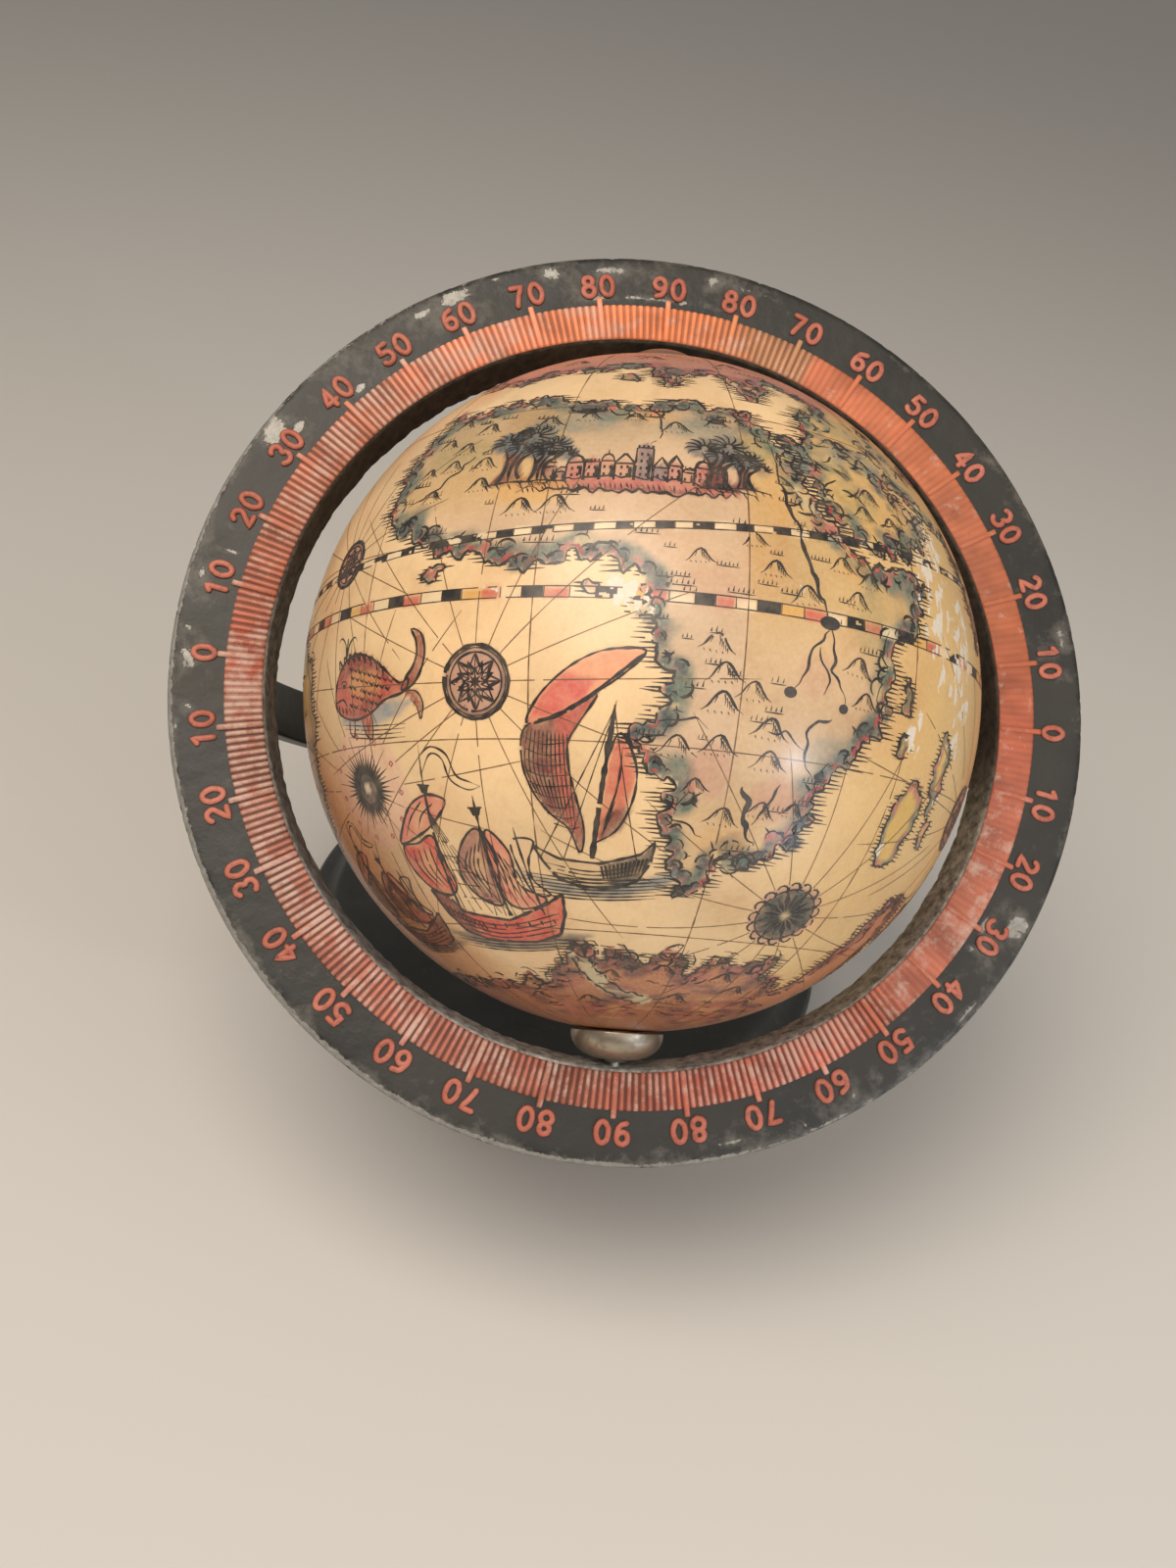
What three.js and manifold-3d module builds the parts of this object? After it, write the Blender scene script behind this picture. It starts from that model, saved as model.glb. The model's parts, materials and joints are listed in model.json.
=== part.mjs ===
// Desktop globe in a full meridian ring, carried by a yoke on a round base.
//
// Units are millimetres and +Z is up. The origin is the middle of the base's underside, and the
// face of the ring looks towards -Y and up. The globe turns in the ring on two pole pins, and the
// ring tilts in the yoke on two trunnion screws.

import * as THREE from 'three';
import { mergeVertices } from 'three/addons/utils/BufferGeometryUtils.js';
import Module from 'manifold-3d';

// Fit between pieces that touch
const GAP = 0.3;

// Globe
const GLOBE_R = 50;
const SHELL_T = 1.8;
const BAND_T = 1.2;
const BAND_HALF_WIDTH = 5;

// Meridian ring: its face is the side with the degree scale
const BORE_R = 55.4;
const BORE_BACK_R = 54.2;
const RING_R = 69.4;
const RING_FACE = 2.0;
const RING_BACK = -4.5;
const RING_EDGE = 1.0;

// Pole pins, cups and bushes: distances are from the globe's centre along the polar axis
const PIN_R = 0.8;
const PIN_HOLE_R = PIN_R + GAP;
const PIN_INNER = 44;
const PIN_OUTER = RING_R - 0.3;
const CUP_R = 6.8;
const CUP_FLAT = GLOBE_R + 0.4;
const CUP_CROWN = 54.1;
const CUP_NIPPLE_R = 1.7;
const CUP_TIP = 54.45;
const BUSH_R = 2.6;
const BUSH_FLANGE_R = 4.2;
const BUSH_FLANGE_T = 0.7;

// Trunnions: their axis runs along X, behind the ring
const TRUNNION_BACK = 12;
const LUG_INNER_X = 57.0;
const LUG_OUTER_X = 61.2;
const LUG_R = 5.5;
const SCREW_R = 1.6;
const SCREW_HOLE_R = SCREW_R + GAP;
const SCREW_HEAD_R = 4.5;
const SCREW_HEAD_T = 2.2;
const SCREW_SLOT = 0.9;
const WASHER_R = 4.8;

// Yoke
const YOKE_INNER_R = 62.5;
const YOKE_OUTER_R = 66.5;
const YOKE_HALF_WIDTH = 4.5;
const YOKE_EYE_R = 6;
const BOSS_R = 7.5;
const BOSS_DROP = 9;
const BOSS_HEIGHT = 12.5;

// Base, stem and the screw that ties them to the yoke
const LEAN = Math.PI / 4;
const TRUNNION_Z = 80;
const RING_CENTRE_Y = -40;
const BASE_R = 52;
const BASE_TOP = 9;
const FELT_R = 49;
const FELT_T = 1.5;
const BASE_FLOOR = FELT_T + GAP;
const STEM_FOOT_R = 10;
const STEM_WAIST_R = 4.8;
const TIE_R = 2.5;
const TIE_HOLE_R = TIE_R + GAP;
const TIE_HEAD_R = 5;
const TIE_HEAD_T = 1.9;
const TIE_WASHER_R = 7;
const TIE_WASHER_T = 0.9;
const COUNTERBORE_R = 8;

// Places worked out from the sizes above
const FACE_OUT = new THREE.Vector3(0, -Math.cos(LEAN), Math.sin(LEAN));
const RING_CENTRE = new THREE.Vector3(0, RING_CENTRE_Y, TRUNNION_Z + TRUNNION_BACK * FACE_OUT.z);
const TRUNNION = RING_CENTRE.clone().addScaledVector(FACE_OUT, -TRUNNION_BACK);
const YOKE_MID_R = (YOKE_INNER_R + YOKE_OUTER_R) / 2;
const STEM_Y = TRUNNION.y - YOKE_MID_R * FACE_OUT.y + 1;
const BOSS_BOTTOM = TRUNNION.z - YOKE_OUTER_R * FACE_OUT.z - BOSS_DROP;

// Stack in the base's counterbore, from the felt upwards: screw head, washer, base
const HEAD_LOW = BASE_FLOOR;
const WASHER_LOW = HEAD_LOW + TIE_HEAD_T + GAP;
const COUNTERBORE_TOP = WASHER_LOW + TIE_WASHER_T + GAP;
const TIE_TOP = BOSS_BOTTOM + BOSS_DROP;

const finishes = {
  ringPaint: { color: 0x2c3330, roughness: 0.55, metalness: 0.1 },
  map: { color: 0xcfae78, roughness: 0.35, metalness: 0 },
  card: { color: 0x9c8460, roughness: 0.9, metalness: 0 },
  nickel: { color: 0x9a9080, roughness: 0.4, metalness: 0.9 },
  steel: { color: 0x8c8c8c, roughness: 0.35, metalness: 1 },
  brass: { color: 0xb08d4a, roughness: 0.35, metalness: 1 },
  standPaint: { color: 0x1d1f1e, roughness: 0.5, metalness: 0.1 },
  fibre: { color: 0x6b3a26, roughness: 0.8, metalness: 0 },
  felt: { color: 0x1f3a2a, roughness: 1, metalness: 0 },
};

const wasm = await Module();
wasm.setup();

const model = new THREE.Group();

// The ring and all that tilts with it: local X is to the right, local Y points to the north pole,
// and local Z comes out of the ring's face.
const tilting = new THREE.Group();
tilting.position.copy(RING_CENTRE);
tilting.rotation.x = LEAN;
model.add(tilting);

function addMesh(group, name, geometry, finish) {
  const mesh = new THREE.Mesh(geometry, new THREE.MeshStandardMaterial(finishes[finish]));
  mesh.name = name;
  group.add(mesh);
  return mesh;
}

// Booleans ---------------------------------------------------------------------------------------

function toSolid(geometry) {
  const bare = geometry.clone();
  bare.deleteAttribute('normal');
  bare.deleteAttribute('uv');
  const merged = mergeVertices(bare, 1e-4);
  return new wasm.Manifold(new wasm.Mesh({
    numProp: 3,
    vertProperties: new Float32Array(merged.attributes.position.array),
    triVerts: new Uint32Array(merged.index.array),
  }));
}

function toGeometry(solid) {
  const mesh = solid.getMesh();
  const geometry = new THREE.BufferGeometry();
  geometry.setAttribute('position', new THREE.BufferAttribute(mesh.vertProperties, 3));
  geometry.setIndex(new THREE.BufferAttribute(mesh.triVerts, 1));
  geometry.computeVertexNormals();
  return geometry;
}

// Turned shapes ----------------------------------------------------------------------------------

// Turns a profile of [radius, height] points about local Y. The profile runs from its lowest point,
// up the outside, and closes on itself or ends on the axis.
function turned(profile, segments) {
  return new THREE.LatheGeometry(profile.map(([r, y]) => new THREE.Vector2(r, y)), segments);
}

function turnedAboutZ(profile, segments) {
  return turned(profile, segments).rotateX(Math.PI / 2);
}

function turnedAboutX(profile, segments) {
  return turned(profile, segments).rotateZ(-Math.PI / 2);
}

function tube(inner, outer, low, high) {
  return [[inner, low], [outer, low], [outer, high], [inner, high], [inner, low]];
}

function rod(radius, low, high) {
  return [[0, low], [radius, low], [radius, high], [0, high]];
}

// Points on an arc of the profile, from one angle to another, in degrees above the radius axis
function arc(radius, from, to, steps) {
  const points = [];
  for (let i = 0; i <= steps; i += 1) {
    const a = THREE.MathUtils.degToRad(from + (to - from) * i / steps);
    points.push([radius * Math.cos(a), radius * Math.sin(a)]);
  }
  return points;
}

// Globe ------------------------------------------------------------------------------------------

// One half of the hollow shell, with a hole at its pole for the bush
function hemisphere() {
  const holeAt = (radius) => THREE.MathUtils.radToDeg(Math.acos((BUSH_R + GAP) / radius));
  const seamAt = (radius) => THREE.MathUtils.radToDeg(Math.asin(GAP / 2 / radius));
  const inside = GLOBE_R - SHELL_T;
  const outer = arc(GLOBE_R, seamAt(GLOBE_R), holeAt(GLOBE_R), 9);
  const inner = arc(inside, holeAt(inside), seamAt(inside), 6);
  return turned([...outer, ...inner, outer[0]], 36);
}

function joiningBand() {
  const outer = GLOBE_R - SHELL_T - 3 * GAP;
  return turned(tube(outer - BAND_T, outer, -BAND_HALF_WIDTH, BAND_HALF_WIDTH), 36);
}

// Eyelet pressed into the shell from inside: its flange bears on the inner wall
function bush() {
  const wall = Math.sqrt((GLOBE_R - SHELL_T) ** 2 - BUSH_FLANGE_R ** 2) - GAP;
  const flange = wall - BUSH_FLANGE_T;
  return turned([
    [PIN_HOLE_R, flange],
    [BUSH_FLANGE_R, flange],
    [BUSH_FLANGE_R, wall],
    [BUSH_R, wall],
    [BUSH_R, GLOBE_R],
    [PIN_HOLE_R, GLOBE_R],
    [PIN_HOLE_R, flange],
  ], 20);
}

// Half-round bell with its flat side to the globe and a nipple that reaches the ring's bore
function cup() {
  const depth = CUP_CROWN - CUP_FLAT;
  const bell = [];
  const steps = 6;
  for (let i = 0; i <= steps; i += 1) {
    const a = Math.PI / 2 * i / steps;
    const r = CUP_NIPPLE_R + (CUP_R - CUP_NIPPLE_R) * Math.cos(a);
    bell.push([r, CUP_FLAT + 0.5 + (depth - 0.5) * Math.sin(a)]);
  }
  return turned([
    [PIN_HOLE_R, CUP_FLAT],
    [CUP_R, CUP_FLAT],
    ...bell,
    [CUP_NIPPLE_R - 0.2, CUP_TIP],
    [PIN_HOLE_R, CUP_TIP],
    [PIN_HOLE_R, CUP_FLAT],
  ], 28);
}

for (const [pole, turn] of [['north', 0], ['south', Math.PI]]) {
  const half = addMesh(tilting, `globe_${pole}_half`, hemisphere(), 'map');
  const eyelet = addMesh(tilting, `${pole}_pole_bush`, bush(), 'brass');
  const bell = addMesh(tilting, `${pole}_pole_cup`, cup(), 'nickel');
  const pin = addMesh(
    tilting,
    `${pole}_pole_pin`,
    turned(rod(PIN_R, PIN_INNER, PIN_OUTER), 16),
    'steel',
  );
  for (const mesh of [half, eyelet, bell, pin]) mesh.rotation.x = turn;
}
addMesh(tilting, 'globe_joining_band', joiningBand(), 'card');

// Meridian ring ----------------------------------------------------------------------------------

// Flat ring with a tapered bore and rounded rim, before its lugs and holes
function ringBlank() {
  const e = RING_EDGE;
  return turnedAboutZ([
    [BORE_BACK_R + 0.4, RING_BACK],
    [RING_R - e, RING_BACK],
    [RING_R - 0.3 * e, RING_BACK + 0.3 * e],
    [RING_R, RING_BACK + e],
    [RING_R, RING_FACE - e],
    [RING_R - 0.3 * e, RING_FACE - 0.3 * e],
    [RING_R - e, RING_FACE],
    [BORE_R + 0.4, RING_FACE],
    [BORE_R, RING_FACE - 0.4],
    [BORE_BACK_R, RING_BACK + 0.4],
    [BORE_BACK_R + 0.4, RING_BACK],
  ], 84);
}

// Lug on the ring's back, rounded about the trunnion axis
function lug() {
  const thickness = LUG_OUTER_X - LUG_INNER_X;
  const middle = (LUG_OUTER_X + LUG_INNER_X) / 2;
  const reach = TRUNNION_BACK + RING_BACK + 1;
  const block = new THREE.BoxGeometry(thickness, 2 * LUG_R, reach)
    .translate(middle, 0, -TRUNNION_BACK + reach / 2);
  const round = turnedAboutX(rod(LUG_R, LUG_INNER_X, LUG_OUTER_X), 28)
    .translate(0, 0, -TRUNNION_BACK);
  return toSolid(block).add(toSolid(round));
}

function ring() {
  let solid = toSolid(ringBlank());
  for (const turn of [[0, 0, 0], [0, 0, 180]]) {
    solid = solid.add(lug().rotate(turn));
    const pinHole = toSolid(turned(rod(PIN_HOLE_R, GLOBE_R, RING_R + 2), 16));
    solid = solid.subtract(pinHole.rotate(turn));
    const screwHole = toSolid(
      turnedAboutX(rod(SCREW_HOLE_R, LUG_INNER_X - 2, LUG_OUTER_X + 2), 16)
        .translate(0, 0, -TRUNNION_BACK),
    );
    solid = solid.subtract(screwHole.rotate(turn));
  }
  return toGeometry(solid);
}

addMesh(tilting, 'meridian_ring', ring(), 'ringPaint');

// Stand ------------------------------------------------------------------------------------------

// The yoke is drawn about the trunnion centre with its arc in the local XZ plane and its back
// towards local -Z. It leans as the ring does, so it stands square behind the ring.
const leaning = new THREE.Group();
leaning.position.copy(TRUNNION);
leaning.rotation.x = LEAN;
model.add(leaning);

function yokeArc() {
  const outline = new THREE.Shape();
  outline.absarc(0, 0, YOKE_OUTER_R, Math.PI, 2 * Math.PI, false);
  outline.absarc(0, 0, YOKE_INNER_R, 2 * Math.PI, Math.PI, true);
  const settings = { depth: 2 * YOKE_HALF_WIDTH, bevelEnabled: false, curveSegments: 40 };
  const band = new THREE.ExtrudeGeometry(outline, settings);
  return band.translate(0, 0, -YOKE_HALF_WIDTH).rotateX(Math.PI / 2);
}

// Boss that stands upright under the yoke's back, drawn in the leaning frame
function yokeBoss() {
  const low = BOSS_BOTTOM - TRUNNION.z;
  const high = low + BOSS_HEIGHT;
  const upright = turnedAboutZ(rod(BOSS_R, low, high), 32)
    .translate(0, STEM_Y - TRUNNION.y, 0)
    .rotateX(-LEAN);
  const inside = turned(rod(YOKE_MID_R, -30, 30), 80);
  return toSolid(upright).subtract(toSolid(inside));
}

function yokeThread() {
  const low = BOSS_BOTTOM - TRUNNION.z;
  const hole = turnedAboutZ(rod(TIE_HOLE_R, low - 2, low + BOSS_DROP + 1.5), 20)
    .translate(0, STEM_Y - TRUNNION.y, 0)
    .rotateX(-LEAN);
  return toSolid(hole);
}

function yoke() {
  let solid = toSolid(yokeArc()).add(yokeBoss());
  for (const turn of [[0, 0, 0], [0, 0, 180]]) {
    const eye = toSolid(turnedAboutX(rod(YOKE_EYE_R, YOKE_INNER_R, YOKE_OUTER_R), 28));
    const hole = toSolid(
      turnedAboutX(rod(SCREW_HOLE_R, YOKE_INNER_R - 4, YOKE_OUTER_R + 2), 16),
    );
    solid = solid.add(eye.rotate(turn));
    solid = solid.subtract(hole.rotate(turn));
  }
  return toGeometry(solid.subtract(yokeThread()));
}

addMesh(leaning, 'yoke', yoke(), 'standPaint');

// Slotted cheese-head screw along local +X
function trunnionScrew() {
  const head = YOKE_OUTER_R + GAP;
  const tip = LUG_INNER_X + 0.5;
  const shape = turnedAboutX([
    [0, tip],
    [SCREW_R, tip],
    [SCREW_R, head],
    [SCREW_HEAD_R, head],
    [SCREW_HEAD_R, head + SCREW_HEAD_T - 0.5],
    [SCREW_HEAD_R - 0.6, head + SCREW_HEAD_T],
    [0, head + SCREW_HEAD_T],
  ], 24);
  const slot = new THREE.BoxGeometry(SCREW_SLOT * 2, 3 * SCREW_HEAD_R, SCREW_SLOT)
    .translate(head + SCREW_HEAD_T, 0, 0);
  return toGeometry(toSolid(shape).subtract(toSolid(slot)));
}

function frictionWasher() {
  const low = LUG_OUTER_X + GAP;
  return turnedAboutX(tube(SCREW_HOLE_R, WASHER_R, low, YOKE_INNER_R - GAP), 24);
}

for (const [side, turn] of [['right', 0], ['left', Math.PI]]) {
  addMesh(leaning, `${side}_trunnion_screw`, trunnionScrew(), 'nickel').rotation.z = turn;
  addMesh(leaning, `${side}_friction_washer`, frictionWasher(), 'fibre').rotation.z = turn;
}

// Turned post between the base and the yoke's boss
function stem() {
  const low = BASE_TOP + GAP;
  const high = BOSS_BOTTOM - GAP;
  const shape = turnedAboutZ([
    [TIE_HOLE_R, low],
    [STEM_FOOT_R, low],
    [STEM_FOOT_R, low + 1.6],
    [STEM_FOOT_R - 1.4, low + 2.6],
    [STEM_WAIST_R + 1.4, low + 3.4],
    [STEM_WAIST_R, low + 5.4],
    [STEM_WAIST_R, high - 4],
    [STEM_WAIST_R + 1.2, high - 2],
    [BOSS_R, high - 1.4],
    [BOSS_R, high],
    [TIE_HOLE_R, high],
    [TIE_HOLE_R, low],
  ], 32);
  return shape.translate(0, STEM_Y, 0);
}

addMesh(model, 'stem', stem(), 'standPaint');

// Round foot with a stepped edge, a counterbore underneath and a hole for the tie screw
function base() {
  const blank = turnedAboutZ([
    [0, BASE_FLOOR],
    [BASE_R - 0.8, BASE_FLOOR],
    [BASE_R, BASE_FLOOR + 0.8],
    [BASE_R, BASE_TOP - 4.2],
    [BASE_R - 0.8, BASE_TOP - 3.2],
    [BASE_R - 3.4, BASE_TOP - 2.6],
    [BASE_R - 5.2, BASE_TOP - 1],
    [BASE_R - 7.6, BASE_TOP],
    [0, BASE_TOP],
  ], 56);
  const bore = turnedAboutZ(rod(TIE_HOLE_R, 0, BASE_TOP + 2), 20).translate(0, STEM_Y, 0);
  const recess = turnedAboutZ(rod(COUNTERBORE_R, 0, COUNTERBORE_TOP), 32)
    .translate(0, STEM_Y, 0);
  return toGeometry(toSolid(blank).subtract(toSolid(bore)).subtract(toSolid(recess)));
}

function tieScrew() {
  const head = HEAD_LOW + TIE_HEAD_T;
  const shape = turnedAboutZ([
    [0, HEAD_LOW],
    [TIE_HEAD_R, HEAD_LOW],
    [TIE_HEAD_R, head],
    [TIE_R, head],
    [TIE_R, TIE_TOP],
    [0, TIE_TOP],
  ], 24);
  const slot = new THREE.BoxGeometry(3 * TIE_HEAD_R, SCREW_SLOT, 2 * SCREW_SLOT)
    .translate(0, 0, HEAD_LOW);
  return toGeometry(toSolid(shape).subtract(toSolid(slot))).translate(0, STEM_Y, 0);
}

function tieWasher() {
  const profile = tube(TIE_HOLE_R, TIE_WASHER_R, WASHER_LOW, WASHER_LOW + TIE_WASHER_T);
  return turnedAboutZ(profile, 24).translate(0, STEM_Y, 0);
}

addMesh(model, 'base', base(), 'standPaint');
addMesh(model, 'base_washer', tieWasher(), 'steel');
addMesh(model, 'base_screw', tieScrew(), 'steel');
addMesh(model, 'felt_pad', turnedAboutZ(rod(FELT_R, 0, FELT_T), 48), 'felt');

export default model;
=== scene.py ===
import json
import math

import bpy
import numpy as np
from mathutils import Matrix, Vector
from mathutils.kdtree import KDTree


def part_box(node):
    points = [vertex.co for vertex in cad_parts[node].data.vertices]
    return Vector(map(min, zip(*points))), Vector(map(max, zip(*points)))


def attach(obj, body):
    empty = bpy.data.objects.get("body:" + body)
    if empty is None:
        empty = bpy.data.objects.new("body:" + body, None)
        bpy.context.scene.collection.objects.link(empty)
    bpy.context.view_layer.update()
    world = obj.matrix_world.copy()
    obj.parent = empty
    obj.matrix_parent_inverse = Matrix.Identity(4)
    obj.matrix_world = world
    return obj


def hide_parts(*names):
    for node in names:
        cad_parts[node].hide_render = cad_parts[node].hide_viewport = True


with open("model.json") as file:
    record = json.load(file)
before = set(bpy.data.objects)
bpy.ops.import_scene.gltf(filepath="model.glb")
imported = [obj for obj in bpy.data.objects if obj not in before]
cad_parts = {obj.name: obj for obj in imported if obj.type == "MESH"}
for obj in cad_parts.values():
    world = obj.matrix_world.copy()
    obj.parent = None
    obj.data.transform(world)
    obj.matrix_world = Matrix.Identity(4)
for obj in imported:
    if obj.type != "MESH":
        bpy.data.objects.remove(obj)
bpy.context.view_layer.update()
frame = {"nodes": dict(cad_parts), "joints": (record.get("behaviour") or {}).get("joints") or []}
MM = 0.001

# Places -----------------------------------------------------------------------------------------

# Ring-local axes in millimetres: E to the right, N to the north pole, F out of the ring's face
joints = {j["name"]: j for j in frame["joints"]}
CENTRE = np.array(joints["globe_spin"]["pos_m"], float)
N_AXIS = np.array(joints["globe_spin"]["axis"], float)
N_AXIS /= np.linalg.norm(N_AXIS)
E_AXIS = np.array([1.0, 0.0, 0.0])
F_AXIS = np.cross(E_AXIS, N_AXIS)
BASIS = np.stack([E_AXIS, N_AXIS, F_AXIS])
TRUNNION = np.array(joints["ring_tilt"]["pos_m"], float)


def from_ring(p, origin=CENTRE):
    """Points in ring-local millimetres to the row frame in metres."""
    return origin + np.asarray(p, float) * MM @ BASIS


def size_x(node):
    low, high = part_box(node)
    return (high.x - low.x) / MM


GLOBE_R = size_x("globe_north_half") / 2
RING_R = size_x("meridian_ring") / 2
# The ring's face and back along F, and the radii of its bore at the face and at the back
FACE, BACK = 2.0, -4.5
BORE, BORE_BACK = 55.4, 54.2


# Meshes -----------------------------------------------------------------------------------------


def piece(name, co, faces, material, body, replaces=()):
    """One visible mesh that rides a body, with the CAD nodes that it stands for."""
    mesh = bpy.data.meshes.new(name)
    mesh.from_pydata([tuple(c) for c in co], [], [tuple(f) for f in faces])
    mesh.validate()
    mesh.polygons.foreach_set("use_smooth", [True] * len(mesh.polygons))
    mesh.materials.append(material)
    obj = bpy.data.objects.new(name, mesh)
    bpy.context.scene.collection.objects.link(obj)
    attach(obj, body)
    if replaces:
        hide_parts(*replaces)
    return obj


def grid_faces(rows, cols, close_rows=False):
    """Quads of a grid of points whose columns close on themselves, and its rows too if asked."""
    r, c = np.meshgrid(np.arange(rows if close_rows else rows - 1), np.arange(cols), indexing="ij")
    r2, c2 = (r + 1) % rows, (c + 1) % cols
    return np.stack([r * cols + c, r * cols + c2, r2 * cols + c2, r2 * cols + c], -1).reshape(-1, 4)


def tube_faces(rows, cols):
    """The quads round a closed tube, and a cap at each of its ends."""
    caps = [tuple(range(cols))[::-1], tuple(range((rows - 1) * cols, rows * cols))]
    return [tuple(q) for q in grid_faces(rows, cols)] + caps


def mirrored(co, faces, side):
    """A shell made for the right (1), or its twin on the left (-1)."""
    if side > 0:
        return co, faces
    return co * [-1, 1, 1], [f[::-1] for f in faces]


class Shells:
    """Several closed shells gathered into one mesh."""

    def __init__(self):
        self.co, self.faces, self.count = [], [], 0

    def add(self, co, faces):
        self.co.append(np.asarray(co, float).reshape(-1, 3))
        self.faces += [tuple(int(i) + self.count for i in f) for f in faces]
        self.count += len(self.co[-1])

    def all(self):
        return np.concatenate(self.co), self.faces


def rounded(profile, radius, steps=4):
    """A closed or open profile with each corner that carries a radius turned into an arc."""
    out = []
    pts = [np.array(p[:2], float) for p in profile]
    for i, p in enumerate(profile):
        r = p[2] if len(p) > 2 else radius
        if i in (0, len(profile) - 1) or r <= 0:
            out.append(pts[i])
            continue
        a, b = pts[i - 1] - pts[i], pts[i + 1] - pts[i]
        la, lb = np.linalg.norm(a), np.linalg.norm(b)
        cut = min(r, 0.45 * la, 0.45 * lb)
        start, end = pts[i] + a / la * cut, pts[i] + b / lb * cut
        for k in range(steps + 1):
            t = k / steps
            out.append((1 - t) ** 2 * start + 2 * t * (1 - t) * pts[i] + t * t * end)
    return np.array(out)


def lathe(profile, steps, closed=True):
    """Points (radius, height) turned about the third axis, closed on themselves or on the axis."""
    profile = np.asarray(profile, float)
    a = np.linspace(0, 2 * math.pi, steps, endpoint=False)
    co = np.empty((len(profile), steps, 3))
    co[..., 0] = profile[:, :1] * np.cos(a)
    co[..., 1] = profile[:, :1] * np.sin(a)
    co[..., 2] = profile[:, 1:]
    faces = [tuple(f) for f in grid_faces(len(profile), steps, close_rows=closed)]
    co = co.reshape(-1, 3)
    if not closed:
        low, high = len(co), len(co) + 1
        co = np.vstack([co, [0, 0, profile[0, 1]], [0, 0, profile[-1, 1]]])
        last = (len(profile) - 1) * steps
        for i in range(steps):
            j = (i + 1) % steps
            faces.append((low, j, i))
            faces.append((high, last + i, last + j))
    return co, faces


def about(co, axis):
    """Turns a lathe's third axis onto ring-local E or N."""
    x, y, z = co.T
    return np.stack([z, x, y] if axis == "E" else [y, z, x], -1)


def on_trunnion(profile, steps, closed, side):
    """A lathe shape about the trunnion axis, on the right (1) or left (-1), in the row frame."""
    co, faces = lathe(profile, steps, closed)
    co, faces = mirrored(about(co, "E"), faces, side)
    return from_ring(co, TRUNNION), faces


def ripple(p, size, seed, waves=18):
    """Smooth seeded noise of about unit size, with features of the given size."""
    rng = np.random.default_rng(seed)
    p = np.atleast_2d(p)
    k = rng.normal(size=(waves, p.shape[1]))
    k *= (rng.uniform(0.6, 1.5, waves) / np.linalg.norm(k, axis=1))[:, None] * 2 * math.pi / size
    return np.cos(p @ k.T + rng.uniform(0, 2 * math.pi, waves)).sum(1) * math.sqrt(2 / waves)


def smoothstep(x, a, b):
    t = np.clip((np.asarray(x, float) - a) / (b - a), 0, 1)
    return t * t * (3 - 2 * t)


def blend(a, b, share):
    return a * (1 - share) + b * share


def column(values):
    return np.asarray(values)[:, None]


def attribute(obj, name, values, rest=0.0):
    """A value or colour for each vertex; the vertices past the given values take the rest."""
    values = np.asarray(values, float)
    more = len(obj.data.vertices) - len(values)
    values = np.concatenate([values, np.broadcast_to(rest, (more, *values.shape[1:]))])
    kind = "FLOAT_COLOR" if values.ndim == 2 else "FLOAT"
    layer = obj.data.attributes.new(name, kind, "POINT")
    if kind == "FLOAT":
        layer.data.foreach_set("value", values.astype(np.float32))
    else:
        rgba = np.ones((len(values), 4), np.float32)
        rgba[:, :3] = values
        layer.data.foreach_set("color", rgba.ravel())


# Materials --------------------------------------------------------------------------------------


def lin(*rgb):
    """0-255 screen colour to linear."""
    c = np.asarray(rgb, float) / 255
    return np.where(c <= 0.04045, c / 12.92, ((c + 0.055) / 1.055) ** 2.4)


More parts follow.
